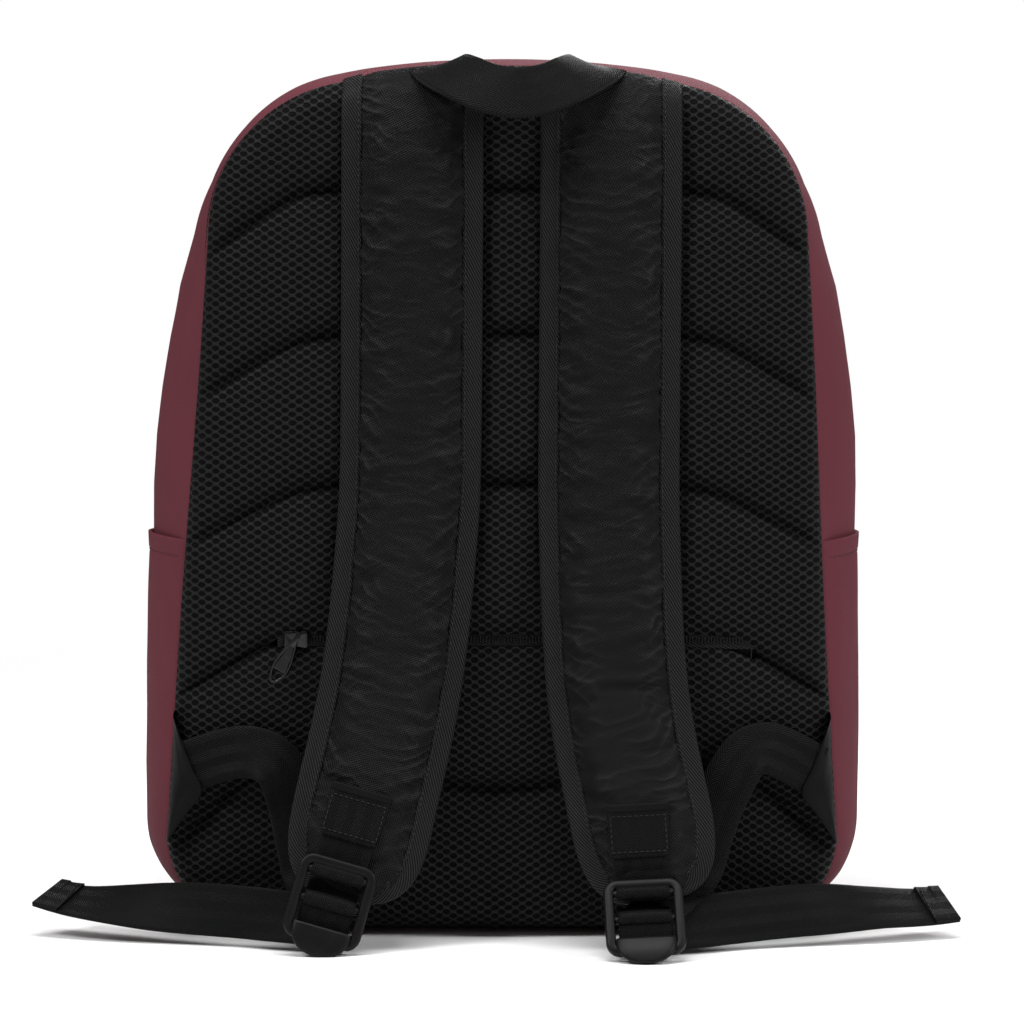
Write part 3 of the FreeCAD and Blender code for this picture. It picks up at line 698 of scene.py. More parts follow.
def gusset_ring(name, edges, nodes, ny):
    """Closed cloth ring round the whole bag between two edges y(s), turned in at the zip."""
    s = np.linspace(0.0, GIRTH, 780)[:, None]
    lower, upper, turn_low, turn_high = edges(outline(s)[1])
    v = np.linspace(0, 1, ny)[None]
    y = lower + (upper - lower) * v
    turn = turn_low * (1 - smooth((y - lower) / 2.5)) + turn_high * (1 - smooth((upper - y) / 2.5))
    rows = lambda drop: gusset_point(s + 0 * y, y, -turn * 1.6 - drop)
    uv = np.stack(np.broadcast_arrays(y, s), -1)
    ring = shell(name, rows(0.0), rows(1.6), "bag", BURGUNDY, uv)
    return stands_for(ring, "burgundy_cloth", *nodes)


def rear_edges(z):
    """The rear strip runs from the back seam to the zip, turned in along the zip above its end."""
    above = smooth((z - MAIN_ZIP_LOW) / 3)
    return -SEAM_Y + 0 * z, zip_rear + 0 * z, 0 * z, above


def front_edges(z):
    """The front strip starts where the rear one ends and steps over the zip above its end."""
    above = smooth((z - MAIN_ZIP_LOW) / 3)
    return zip_rear + 2 * ZIP_LIP * above, SEAM_Y + 0 * z, above, 0 * z


ring_nodes = ("side_gusset_left", "side_gusset_right", "bottom_panel")
gusset_ring("gusset_rear", rear_edges, ring_nodes + ("top_gusset_rear",), 56)
gusset_ring("gusset_front", front_edges, ring_nodes + ("top_gusset_front",), 20)


def side_pocket(side, s):
    """Pocket cloth over the gusset, seam to seam, flaring at its mouth above a stitched hem."""
    a, b = girth_at(POCKET_LOW), girth_at(POCKET_TOP)
    if s < 0:
        a, b = GIRTH - b, GIRTH - a
    along = np.linspace(a, b, 130)[:, None]
    y = np.linspace(-SEAM_Y + 0.4, SEAM_Y - 0.4, 64)[None]
    height = outline(along)[1]
    hem_line = POCKET_TOP - HEM
    inside_hem = smooth((height - hem_line + 0.8) / 1.6)
    groove = np.exp(-(((height - hem_line) / 0.9) ** 2))
    flare = smooth((height - hem_line) / HEM) * 0.5
    edge = 1 - (np.abs(y) / SEAM_Y) ** 10
    low = smooth((height - POCKET_LOW) / 18)
    lift = (0.5 + (1.2 + flare + 0.35 * inside_hem - 0.5 * groove) * low) * edge
    sag = 0.6 * ripple(along * 0.5, y, 11 + int(s), 60) * edge * low
    face = gusset_point(along + 0 * y, y + 0 * along, lift + sag)
    back = gusset_point(along + 0 * y, y + 0 * along, lift + sag - 1.5 - 0.5 * inside_hem)
    uv = np.stack(np.broadcast_arrays(y, along), -1)
    pocket = shell("side_pocket_cloth_" + side, face, back, "bag", BURGUNDY, uv)
    stands_for(pocket, "burgundy_cloth", "side_pocket_" + side, "side_pocket_hem_" + side)
    row = int(np.abs(height[:, 0] - hem_line).argmin())
    path = face[row, 2:-2]
    out = unit(path - np.array([0, 0, 1]) * path[:, 2:] * 1.0) * [1, 0, 0] + [0.0, 0.0, 0.05]
    stitches("pocket_stitching_" + side, path, out, "bag", WINE_THREAD, radius=0.42)


for side, s in SIDES:
    side_pocket(side, s)


# ------------------------------------------------------------------ main zip
def main_zip():
    """Tape, coil and two rows of stitches over the crown, each a strip of the gusset sunk a little."""
    tape_s = np.linspace(high_r + 5, GIRTH - high_r - 5, 360)[:, None]
    tape_y = np.linspace(MAIN_ZIP_Y - 9.5, MAIN_ZIP_Y + 9.5, 10)[None]
    tape_rows = lambda lift: gusset_point(tape_s + 0 * tape_y, tape_y + 0 * tape_s, lift)
    tape_uv = np.stack(np.broadcast_arrays(tape_y, tape_s), -1)
    tape = shell("main_tape", tape_rows(-2.0), tape_rows(-2.9), "bag", TAPE, tape_uv)
    stands_for(tape, "binding_tape", "main_zip_tape")
    coil_path = gusset_point(tape_s[:, 0], np.full(360, MAIN_ZIP_Y), -1.75)
    coil_out = np.stack(outline(tape_s[:, 0])[2:], 1)
    coil_out = np.stack([coil_out[:, 0], 0 * coil_out[:, 0], coil_out[:, 1]], 1)
    main_coil = coil("main_coil", coil_path, coil_out, "bag", COIL)
    stands_for(main_coil, "zip_coil", "main_zip_coil")
    for tag, y0 in (("rear", zip_rear - 4.0), ("front", zip_front + 3.5)):
        line = gusset_point(tape_s[:, 0], np.full(360, y0), 0.15)
        stitches("zip_stitching_" + tag, line, coil_out, "bag", WINE_THREAD, radius=0.3)


main_zip()


# ------------------------------------------------------------------ front and back panels
def coons(bottom, top, left, right):
    """Grid between four edges: opposite edges blended in both directions, corners taken off."""
    v = np.linspace(0, 1, len(left))[:, None, None]
    u = np.linspace(0, 1, len(bottom))[None, :, None]
    ruled = (1 - v) * bottom[None] + v * top[None] + (1 - u) * left[:, None] + u * right[:, None]
    corners = (
        (1 - u) * (1 - v) * bottom[0] + u * (1 - v) * bottom[-1]
        + (1 - u) * v * top[0] + u * v * top[-1]
    )
    return ruled - corners


def crowd(n, pull):
    """n values from 0 to 1 that crowd towards both ends; pull below 1 is how strongly."""
    t = np.linspace(0, 1, n)
    return t - pull * np.sin(2 * math.pi * t) / (2 * math.pi)


def seam_run(start, end, t):
    """(x, z) on the seam's loop, t of the way from distance start to distance end."""
    x, z, _, _ = outline(start + (end - start) * t)
    return np.stack([x, z], 1)


def half_panel(cut, upper, nu, nv, pull):
    """Plan (x, z) of the part of a panel above or below a cut line z = cut(x)."""
    xs = np.linspace(-172, 172, 1200)
    zs = cut(xs)
    inside = xs[np.abs(xs) < np.interp(zs, OUTLINE[: len(OUTLINE) // 2 + 1, 1],
                                        OUTLINE[: len(OUTLINE) // 2 + 1, 0])]
    edge_x = inside.max()
    edge_z = float(cut(np.array([edge_x]))[0])
    meet = girth_at(edge_z)
    t = crowd(nu, pull)
    line = np.stack([-edge_x + 2 * edge_x * t, cut(-edge_x + 2 * edge_x * t)], 1)
    v = crowd(nv, pull)
    if upper:
        corner = girth_at(TOP_CORNER_R * math.sin(math.radians(48)) + TOP_CORNER_Z)
        top = seam_run(GIRTH - corner, corner, t)
        right, left = seam_run(meet, corner, v), seam_run(GIRTH - meet, GIRTH - corner, v)
        return coons(line, top, left, right)
    corner = girth_at(BOTTOM_Z + BOTTOM_CORNER_R * (1 - math.sin(math.radians(48))))
    bottom = seam_run(-corner, corner, t)
    right, left = seam_run(corner, meet, v), seam_run(GIRTH - corner, GIRTH - meet, v)
    return coons(bottom, line, left, right)


def bell(x, width):
    """exp(-(x / width)^2)."""
    return np.exp(-((x / width) ** 2))


def channel_heights(x):
    """Heights of the five sewn channels over x: level in the middle, falling to the sides."""
    a = np.abs(x)
    fall = lambda start, slope, soft: slope * (np.sqrt((a - start) ** 2 + soft**2) + (a - start)) / 2
    return [
        360.5 - fall(102, 0.78, 12.0),
        291.5 - fall(100, 0.66, 14.0),
        219.5 - fall(98, 0.55, 14.0),
        BACK_ZIP_Z - fall(112, 0.62, 8.0),
        72.5 + 12.0 * smooth(a / 112) - fall(118, 1.0, 10.0),
    ]


def back_cut(x):
    """The channel that carries the back pocket's zip."""
    return channel_heights(x)[3]


def strap_shadow(x, z):
    """1 under a shoulder strap where it lies on the panel, 0 away from it."""
    centre = np.interp(z, STRAP_PATH[::-1, 0], STRAP_PATH[::-1, 1])
    drift = np.interp(z, STRAP_PATH[::-1, 0], STRAP_PATH[::-1, 2])
    gap = np.minimum(np.abs(x - drift - centre), np.abs(x - drift + centre))
    return (1 - smooth((gap - 30) / 9)) * smooth((z - 140) / 60)


def back_height(x, z):
    """Outer face of the back panel.

    A quarter-round roll of 10 x 12 mm at the seam, then pillows that rise with the distance
    from the nearest sewn channel and are pressed flat under the straps.
    """
    d = seam_distance(x, z)
    roll = np.sqrt(np.clip(1 - (1 - np.minimum(d, BACK_ROUND) / BACK_ROUND) ** 2, 0, 1))
    near = np.full(x.shape, 1e3)
    for line in channel_heights(x):
        slope = np.gradient(line, axis=1) / np.maximum(np.abs(np.gradient(x, axis=1)), 1e-6)
        near = np.minimum(near, np.abs(z - line) / np.sqrt(1 + slope**2))
    puff = 1 - np.exp(-near / 11.0)
    side = 1 - np.exp(-d / 20.0)
    free = 1 - strap_shadow(x, z)
    pillow = 3.9 * puff * side * (0.25 + 0.75 * free)
    groove = 2.9 * np.exp(-((near / 2.6) ** 2)) + 1.3 * np.exp(-((near / 7.0) ** 2))
    pucker = 0.55 * ripple(x * 2.3, z * 0.6, 21, 60) * np.exp(-near / 13.0) * (1 - bell(near, 1.2))
    soft = 0.45 * ripple(x, z, 23, 75) * side
    pressed = 0.4 * (1 - free)
    height = BACK_DEPTH * roll + (pillow - groove + pucker + soft - pressed) * smooth(d / 9)
    return -(SEAM_Y + height)


def panel_piece(name, plan, height, under, node_names, material, slot):
    """Closed panel between its relief and an inner face, both y over the plan's (x, z)."""
    x, z = plan[..., 0], plan[..., 1]
    face = np.stack([x, height, z], -1)
    back = np.stack([x, under, z], -1)
    uv = np.stack([x, z], -1)
    obj = shell(name, face, back, "bag", material, uv)
    stands_for(obj, slot, *node_names)
    return obj


def back_inner(x, z):
    """Inner face of the back panel: 2.4 mm behind the seam's plane, down to it at the seam."""
    d = seam_distance(x, z)
    return -(SEAM_Y + 2.4 * smooth(d / 4))


zip_gap = lambda x: 4.2 * smooth((x - BACK_ZIP_X[0] + 5) / 4) * smooth((BACK_ZIP_X[1] + 5 - x) / 4)
plan = half_panel(lambda x: back_cut(x) + 0.15 + 0.35 * zip_gap(x), True, 330, 290, 0.35)
upper = panel_piece(
    "back_panel_upper", plan, back_height(plan[..., 0], plan[..., 1]),
    back_inner(plan[..., 0], plan[..., 1]), ("back_mesh", "back_foam"), MESH_KNIT, "spacer_mesh",
)
plan = half_panel(lambda x: back_cut(x) - 0.15 - 0.75 * zip_gap(x), False, 330, 150, 0.35)
lower = panel_piece(
    "back_panel_lower", plan, back_height(plan[..., 0], plan[..., 1]),
    back_inner(plan[..., 0], plan[..., 1]), ("back_mesh", "back_foam"), MESH_KNIT, "spacer_mesh",
)


def front_height(x, z):
    """Front panel: an elliptic roll of 36 x 26 mm from the seam, then a slightly full face."""
    d = seam_distance(x, z)
    roll = np.sqrt(np.clip(1 - (1 - np.minimum(d, FRONT_ROUND) / FRONT_ROUND) ** 2, 0, 1))
    full = 3.0 * smooth(d / 120)
    seam = 1.4 * np.exp(-(((z - FRONT_ZIP_Z) / 7.0) ** 2)) * smooth(d / 20)
    creases = 0.8 * ripple(x, z, 31, 120) * smooth(d / 14)
    return SEAM_Y + FRONT_DEPTH * roll * 0.985 + full - seam + creases


front_gap = lambda x: 5.2 * smooth((FRONT_ZIP_HALF + 5 - np.abs(x)) / 4)


def front_panel(tag, sign, nv):
    """Front cloth above or below the pocket's zip, hemmed and stitched along it."""
    plan = half_panel(
        lambda x: FRONT_ZIP_Z + sign * (0.15 + front_gap(x)), sign > 0, 260, nv, 0.45
    )
    x, z = plan[..., 0], plan[..., 1]
    height = front_height(x, z)
    hem = 1.2 * np.exp(-((z - FRONT_ZIP_Z - sign * front_gap(x)) / 1.3) ** 2)
    under = np.maximum(height - 1.8, SEAM_Y)
    panel_piece(
        "front_cloth_" + tag, plan, height - hem, under - hem,
        ("front_panel_" + tag,), BURGUNDY, "burgundy_cloth",
    )
    line_x = np.linspace(-138, 138, 180)
    line_z = FRONT_ZIP_Z + sign * (front_gap(line_x) + 3.2)
    line_y = front_height(line_x[None], line_z[None])[0] + 0.05
    stitches(
        "front_stitching_" + tag, np.stack([line_x, line_y, line_z], 1),
        np.tile([0.0, 1.0, 0.0], (180, 1)), "bag", WINE_THREAD, radius=0.3,
    )


def level_zip(name, x_range, zc, y_face, sign, half):
    """Tape and coil of a level zip; the tape is a strip bowed outwards in the middle."""
    x = np.linspace(*x_range, 120)[None]
    z = np.linspace(zc - half, zc + half, 8)[:, None]
    bow = 0.5 * smooth((half - np.abs(z - zc)) / half)
    face = np.stack(np.broadcast_arrays(x, y_face + sign * bow, z), -1)
    back = np.stack(np.broadcast_arrays(x, y_face - sign * 0.9 + 0 * z, z), -1)
    uv = np.stack(np.broadcast_arrays(z, x), -1)
    tape = shell(name + "_tape", face, back, "bag", TAPE, uv)
    stands_for(tape, "binding_tape", name + "_zip_tape")
    px = np.linspace(x_range[0] + 2, x_range[1] - 2, 150)
    path = np.stack([px, 0 * px + y_face + sign * 0.75, 0 * px + zc], 1)
    row = coil(name + "_coil", path, np.tile([0.0, sign, 0.0], (150, 1)), "bag", COIL)
    stands_for(row, "zip_coil", name + "_zip_coil")


front_panel("upper", 1, 160)
front_panel("lower", -1, 190)
level_zip("front", (-97.0, 97.0), FRONT_ZIP_Z, 82.9, 1, 7.0)
level_zip("back", (-108.0, 121.0), BACK_ZIP_Z, -68.6, -1, 4.4)


def inner_binding(name, y, node):
    """Tape over the seam allowance inside the bag: the seam's loop moved 5 mm inwards at depth y."""
    x, z, nx, nz = outline(np.linspace(0, GIRTH, 700))
    centre = np.stack([x - nx * 5.0, y + 0 * x, z - nz * 5.0], -1)
    tape = band(name, centre, np.stack([nx, 0 * nx, nz], -1), 3.8, 2.4, None, TAPE)
    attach(tape, "bag")
    stands_for(tape, "binding_tape", node)


inner_binding("inner_tape_back", -55.5, "seam_binding_back")
inner_binding("inner_tape_front", 55.5, "seam_binding_front")

# ------------------------------------------------------------------ shoulder straps
def strap_space(s):
    """The strap's centre line: points, across, outward normal, thickness and run.

    A Catmull-Rom curve through the stations; across lies in the vertical plane of the panel.
    """
    rows = np.stack([
        s * STRAP_PATH[:, 1] + STRAP_PATH[:, 2], STRAP_PATH[:, 3], STRAP_PATH[:, 0], STRAP_PATH[:, 4]
    ], 1)
    fine = rows_at(rows, np.linspace(0, 1, 900))
    run = np.r_[0, np.cumsum(np.linalg.norm(np.diff(fine[:, :3], axis=0), axis=1))]
    along = unit(np.gradient(fine[:, :3], axis=0))
    across = unit(np.cross(along, [0.0, 1.0, 0.0]))
    normal = unit(np.cross(along, across))
    return {"run": run, "rows": np.concatenate([fine, across, normal], 1), "length": run[-1], "s": s}


def strap_point(space, a, b, n):
    """Point at distance a along the strap, b across it and n out of its inner face.

    Near the top the strap's edge follows the crown's seam, so it drops where the crown does.
    """
    cols = [np.interp(a, space["run"], c) for c in space["rows"].T]
    centre = np.stack(cols[:3], -1)
    across, normal = np.stack(cols[4:7], -1), np.stack(cols[7:10], -1)
    p = centre + across * b[..., None] + normal * n[..., None]
    upper = OUTLINE[(OUTLINE[:, 0] >= 0) & (OUTLINE[:, 1] > 350)]
    upper = upper[np.argsort(upper[:, 0])]
    seam = np.interp(np.abs(p[..., 0]), upper[:, 0], upper[:, 1])
    drop = (seam - 0.8 - 417.5) * (1 - smooth(a / 34))
    p[..., 2] += drop
    return p


def strap_half(space, a):
    """Half width of the strap: constant, then a rounded end (superellipse of power 3)."""
    past = np.clip((a - (space["length"] - STRAP_TIP)) / STRAP_TIP, 0, 1)
    return STRAP_HALF * np.power(np.maximum(1 - past**3, 0), 1 / 3)


def strap_border(space, inset, count=520):
    """(a, b) of the strap's border moved inwards by inset, from the top of one edge round the
    end and up the other edge, with the border's own run."""
    length = space["length"]
    t = np.concatenate([
        np.linspace(0, length - STRAP_TIP, 1800),
        length - STRAP_TIP + STRAP_TIP * np.sin(np.linspace(0, math.pi / 2, 500)) ** 0.8,
    ])
    one = np.stack([t, -strap_half(space, t)], 1)
    other = one[::-1] * [1, -1]
    loop, _ = even(np.concatenate([one, other[1:]]), count)
    along = unit(np.gradient(loop, axis=0))
    inward = np.stack([-along[:, 1], along[:, 0]], 1)
    run = np.r_[0, np.cumsum(np.linalg.norm(np.diff(loop, axis=0), axis=1))]
    return loop + inward * inset, run


def strap_profile(space, a, w, side_seed):
    """Height of the strap's face over its inner face.

    A padded crown between the bindings, puckers that run in from both bindings, cross wrinkles
    where the strap bends, and a slight gutter beside each binding.
    """
    thick = np.interp(a, space["run"], space["rows"][:, 3])
    half = strap_half(space, a)
    b = w * half
    from_edge = half - np.abs(b)
    inner = smooth((from_edge - BINDING * 0.5) / 12.0)
    edge = 0.46 * thick
    crown = edge + (thick * 1.02 - edge) * inner
    top = smooth(a / 40)
    end = smooth((space["length"] - a - 10) / 22)
    wander = ripple(a * 0.9, b * 1.2, side_seed, 42)
    drift = 2.6 * ripple(a, 0 * b, side_seed + 1, 95) + 0.05 * np.abs(b) * np.sign(w)
    fold = np.sin(a * 2 * math.pi / 17.0 + drift)
    fold2 = np.sin(a * 2 * math.pi / 9.5 + 4.0 * ripple(a, 0 * b, side_seed + 2, 60) + np.sign(w) * 1.4)
    reach = np.exp(-(((from_edge - BINDING - 2.0) / 9.0) ** 2))
    gather = (1.05 * fold + 0.6 * fold2) * reach * (0.6 + 0.6 * ripple(a, b * 0.2, side_seed + 3, 120))
    cross = np.sin(a * 2 * math.pi / 21.0 + 3.2 * ripple(a * 0.8, b * 1.4, side_seed + 4, 80))
    cross = np.maximum(cross, -0.2) ** 2 * 0.9 * (0.45 + 0.7 * ripple(a, b, side_seed + 5, 140))
    wrinkle = (gather + cross + 0.35 * wander) * top * end * smooth((from_edge - 9.6) / 7)
    return crown + wrinkle


def strap_pad(side, s):
    """Closed pad of one strap, to be puffed by a cloth simulation that its bound edges hold."""
    space = strap_space(s)
    length = space["length"]
    tip = length - STRAP_TIP
    a = np.concatenate([
        np.linspace(0.6, tip, 176), tip + 44.6 * np.sin(np.linspace(0.04, 1, 26) * math.pi / 2),
    ])[:, None]
    w = np.sin(np.linspace(-1, 1, 46) * math.pi / 2 * 0.94)[None] / math.sin(math.pi / 2 * 0.94)
    half = strap_half(space, a) - 0.8
    b = w * half
    face = strap_point(space, a + 0 * b, b, strap_profile(space, a + 0 * b, w + 0 * a, 41 + int(5 * s)))
    under = 0.35 + 0.25 * ripple(a, b, 61 + int(s), 50)
    back = strap_point(space, a + 0 * b, b, under)
    uv = np.stack([b, a + 0 * b], -1)
    pad = shell("strap_pad_" + side, face, back, None, STRAP_CLOTH, uv)
    return pad, space, face.shape[:2]


def puff(obj, hold, pressure=3.0, frames=16, most=1.3, shrink=-0.022):
    """Blows a closed cloth up with Blender's Cloth and keeps each point's move under `most` mm.

    hold is 1 where the cloth is bound and 0 where it is free.
    """
    scene = bpy.context.scene
    mesh = obj.data
    group = obj.vertex_groups.new(name="bound")
    for level in np.unique(np.round(hold, 1)):
        index = np.flatnonzero(np.round(hold, 1) == level)
        if level > 0:
            group.add(index.tolist(), float(level), "REPLACE")
    modifier = obj.modifiers.new("puff", "CLOTH")
    settings = modifier.settings
    settings.quality = 5
    settings.mass = 0.25
    settings.effector_weights.gravity = 0.0
    settings.tension_stiffness = settings.compression_stiffness = 12
    settings.shear_stiffness = 6
    settings.bending_stiffness = 0.3
    settings.use_pressure = True
    settings.uniform_pressure_force = pressure
    settings.shrink_min = shrink
    settings.vertex_group_mass = "bound"
    modifier.collision_settings.use_collision = False
    modifier.point_cache.frame_start, modifier.point_cache.frame_end = 1, frames
    before = np.zeros(len(mesh.vertices) * 3)
    mesh.vertices.foreach_get("co", before)
    for number in range(1, frames + 1):
        scene.frame_set(number)
    moved = obj.evaluated_get(bpy.context.evaluated_depsgraph_get()).data
    after = np.zeros(len(mesh.vertices) * 3)
    moved.vertices.foreach_get("co", after)
    step = (after - before).reshape(-1, 3)
    size = np.linalg.norm(step, axis=1, keepdims=True)
    step *= np.minimum(1, most / 1000 / np.maximum(size, 1e-9))
    obj.modifiers.remove(modifier)
    obj.vertex_groups.remove(group)
    mesh.vertices.foreach_set("co", (before.reshape(-1, 3) + step).ravel())
    mesh.update()
    scene.frame_set(1)


def binding(space, side):
    """Twill tape folded over the strap's border: 9.3 mm on the face, round the edge, 8 mm behind.

    The section is a U carried along the border; UV is distance across the tape and along it.
    """
    loop, run = strap_border(space, 0.0)
    thick = np.interp(np.clip(loop[:, 0], 0, space["length"]), space["run"], space["rows"][:, 3])
    edge_high = 0.46 * thick
    inset = np.concatenate([
        np.linspace(BINDING, 0.9, 9), [0.2, -0.25, -0.25, 0.2], np.linspace(0.9, 8.0, 6),
    ])
    dome = np.concatenate([
        0.75 + 0.35 * np.sin(np.linspace(0, math.pi, 9)), [0.45, 0.1, -0.1, -0.45], np.full(6, -0.55)
    ])
    on_face = np.concatenate([np.ones(9), [1, 0.72, 0.28, 0], np.zeros(6)])
    rings = []
    for depth in (0.0, 0.75):
        ring = []
        for k in range(len(inset)):
            loop, _ = strap_border(space, inset[k] + (depth if on_face[k] in (0.72, 0.28) else 0))
            a = np.clip(loop[:, 0], 0.0, space["length"])
            rise = 0.7 * smooth((inset[k] - BINDING * 0.6) / 3) * on_face[k]
            n = on_face[k] * edge_high + dome[k] * (1 - depth * 1.0) + rise
            ring.append(strap_point(space, a, loop[:, 1], n))
        rings.append(ring)
    section = np.array(rings[0] + rings[1][::-1]).transpose(1, 0, 2)
    width = np.r_[0, np.cumsum(np.hypot(np.diff(inset), np.diff(on_face) * 3))]
    wide = np.r_[width, width[::-1]]
    uv = np.stack(np.broadcast_arrays(wide[None], run[:, None]), -1)
    tape = tube("strap_tape_" + side, section, None, TAPE, uv)
    return stands_for(tape, "binding_tape", "strap_binding_" + side)


def shoulder_strap(side, s):
    """Puffed pad, its binding and the stitches along the binding; returns the strap's space."""
    pad, space, (rows, cols) = strap_pad(side, s)
    edges = smooth((np.abs(np.linspace(-1, 1, cols)) - 0.56) / 0.14)
    ends = np.ones(rows)
    ends[12:-6] = 0
    hold_face = np.maximum(edges[None], ends[:, None])
    puff(pad, np.r_[hold_face.ravel(), np.ones(rows * cols)])
    stands_for(pad, "black_cloth", "strap_cover_" + side, "strap_foam_" + side, "strap_lining_" + side)
    tape = binding(space, side)
    loop, _ = strap_border(space, BINDING - 1.3, 600)
    loop = loop[loop[:, 0] > 3]
    edge_high = 0.46 * np.interp(loop[:, 0], space["run"], space["rows"][:, 3])
    seam_path = strap_point(space, loop[:, 0], loop[:, 1], edge_high + 1.62)
    lift = strap_point(space, loop[:, 0], loop[:, 1], edge_high + 5.0)
    line = stitches(
        "strap_stitching_" + side, seam_path, lift - seam_path, None, THREAD,
        pitch=2.9, length=2.1, radius=0.28,
    )
    # The strap's pad, binding and stitches are baked in place, on no body.
    for piece in (pad, tape, line):
        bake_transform(piece)
    return space


spaces = {side: shoulder_strap(side, s) for side, s in SIDES}


# ------------------------------------------------------------------ buckles and anchor tabs
def buckle_frame(side):
    """Bar position, across, outward and downward directions of a buckle."""
    (x, y, z), turn, lean = BUCKLES[side]
    spin = Matrix.Rotation(math.radians(turn), 3, "Y") @ Matrix.Rotation(math.radians(-lean), 3, "X")
    axes = [np.array(spin @ Vector(v)) for v in ((1, 0, 0), (0, -1, 0), (0, 0, -1))]
    return np.array([x, y, z]), *axes


def refined(node, name, width):
    """A copy of a metal node with its doubles merged and its edges rounded, on the node's body."""
    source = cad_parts[node]
    mesh = source.data.copy()
    mesh.name = name
    work = bmesh.new()
    work.from_mesh(mesh)
    bmesh.ops.remove_doubles(work, verts=work.verts, dist=1e-5)
    bmesh.ops.dissolve_limit(
        work, angle_limit=math.radians(2), verts=work.verts, edges=work.edges
    )
    bmesh.ops.recalc_face_normals(work, faces=work.faces)
    work.to_mesh(mesh)
    work.free()
    mesh.materials.clear()
    mesh.materials.append(ENAMEL)
    mesh.polygons.foreach_set("use_smooth", np.ones(len(mesh.polygons), bool))
    obj = bpy.data.objects.new(name, mesh)
    bpy.context.scene.collection.objects.link(obj)
    bevel = obj.modifiers.new("rounded", "BEVEL")
    bevel.width = width / 1000
    bevel.segments = 2
    bevel.limit_method = "ANGLE"
    bevel.angle_limit = math.radians(32)
    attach(obj, node)
    return stands_for(obj, "zip_metal", node)


def rounded_section(half_a, half_b, count=16, power=3.0):
    """Superellipse points: a rounded rectangle section."""
    t = np.arange(count) * 2 * math.pi / count
    squeeze = lambda v: np.sign(v) * np.abs(v) ** (2 / power)
    return np.stack([half_a * squeeze(np.cos(t)), half_b * squeeze(np.sin(t))], 1)


def ring_piece(name, path, normal, section, body, material):
    """Closed loop swept along a closed flat path; the section is (in plane, along normal)."""
    along = unit(np.roll(path, -1, axis=0) - np.roll(path, 1, axis=0))
    side = unit(np.cross(along, normal))
    rings = path[:, None] + side[:, None] * section[None, :, 0:1] + normal * section[None, :, 1:2]
    n, m = rings.shape[:2]
    i, j = np.arange(n)[:, None], np.arange(m)[None]
    k, l = (i + 1) % n, (j + 1) % m
    faces = np.stack([i * m + j, i * m + l, k * m + l, k * m + j], -1).reshape(-1, 4)
    return new_piece(name, rings.reshape(-1, 3), faces.tolist(), body, material)


def rounded_loop(half, low, high, radius, count=25):
    """Closed rounded rectangle in x and z."""
    a = np.linspace(0, math.pi / 2, count)
    corners = []
    for k, (cx, cz) in enumerate(((half, high), (-half, high), (-half, low), (half, low))):
        cx -= math.copysign(radius, cx)
        cz += radius if k > 1 else -radius
        turn = a + k * math.pi / 2
        corners.append(np.stack([cx + radius * np.cos(turn), cz + radius * np.sin(turn)], 1))
    return np.concatenate(corners)


def rod_piece(name, ends, half_a, half_b, up, body, material):
    """Straight bar with a rounded section between two points."""
    path = np.linspace(ends[0], ends[1], 8)
    along = unit(ends[1] - ends[0])
    side = np.cross(along, up)
    section = rounded_section(half_a, half_b, 16, 2.3)
    rings = path[:, None] + side * section[None, :, 0:1] + up * section[None, :, 1:2]
    return tube(name, rings, body, material, np.zeros(rings.shape[:2] + (2,)))


def buckle(side):
    """Rim swept round a rounded rectangle, two bars, a thumb lip, and the webbing round bar two."""
    bar, across, out, down = buckle_frame(side)
    up = -down
    body = "buckle_" + side
    axes = np.array([across, out, up])
    local = lambda *place: bar + np.stack(place, -1) @ axes
    loop = rounded_loop(16.4, -31.0, 4.6, 4.6)
    bow = 0.9 * np.cos((loop[:, 1] + 13) / 36 * math.pi)
    rim = ring_piece("buckle_rim_" + side, local(loop[:, 0], bow, loop[:, 1]), out,
                     rounded_section(2.4, 2.3), body, PLASTIC)
    ends = np.array([-15.6, 15.6])
    bars = [
        rod_piece("buckle_bar_" + tag + side, local(ends, 0 * ends + y, 0 * ends + z),
                  1.9, 1.9, out, body, PLASTIC)
        for tag, y, z in (("a_", 0.0, 0.0), ("b_", -0.2, -BAR_GAP))
    ]
    # Thumb lip: half disc that runs on from the rim's foot, turned outwards.
    u = np.linspace(-1, 1, 33)[None]
    v = np.linspace(0, 1, 13)[:, None]
    x = 14.2 * u * np.sqrt(np.maximum(1 - (0.985 * v) ** 2.6, 0)) ** 0.9
    z = -25.5 - 14.0 * v + 0 * u
    rise = 1.9 + 1.4 * v + 0.5 * np.sin(math.pi * v) + 0 * u
    fat = 1.7 * np.sqrt(np.clip(1 - np.abs(u) ** 8, 0.05, 1)) * (1 - 0.45 * v**3)
    lip = shell("buckle_lip_" + side, local(x, rise + fat, z), local(x, rise - fat, z), body, PLASTIC,
                np.stack([x, z], -1))
    for piece in [rim, lip] + bars:
        stands_for(piece, "black_plastic", "buckle_" + side)
    # Webbing over the second bar, down behind the lip.
    turn = np.linspace(2.5, -1.35, 16)
    route = [(3.2 * math.cos(a), -BAR_GAP + 3.2 * math.sin(a)) for a in turn]
    route = [(-6.5, -BAR_GAP + 9.5), (-4.6, -BAR_GAP + 5.0)] + route
    route += [(-0.4, -BAR_GAP - 6.5), (-2.2, -BAR_GAP - 11.5)]
    route = np.array(route)
    line, _ = even(rows_at(local(0 * route[:, 0], route[:, 0], route[:, 1]), np.linspace(0, 1, 200)), 90)
    wrap = band(
        "adjuster_web_" + side, line, np.tile(across, (90, 1)), WEB / 2, 1.4, body, WEBBING, crown=0.35
    )
    stands_for(wrap, "webbing", "adjuster_loop_" + side)


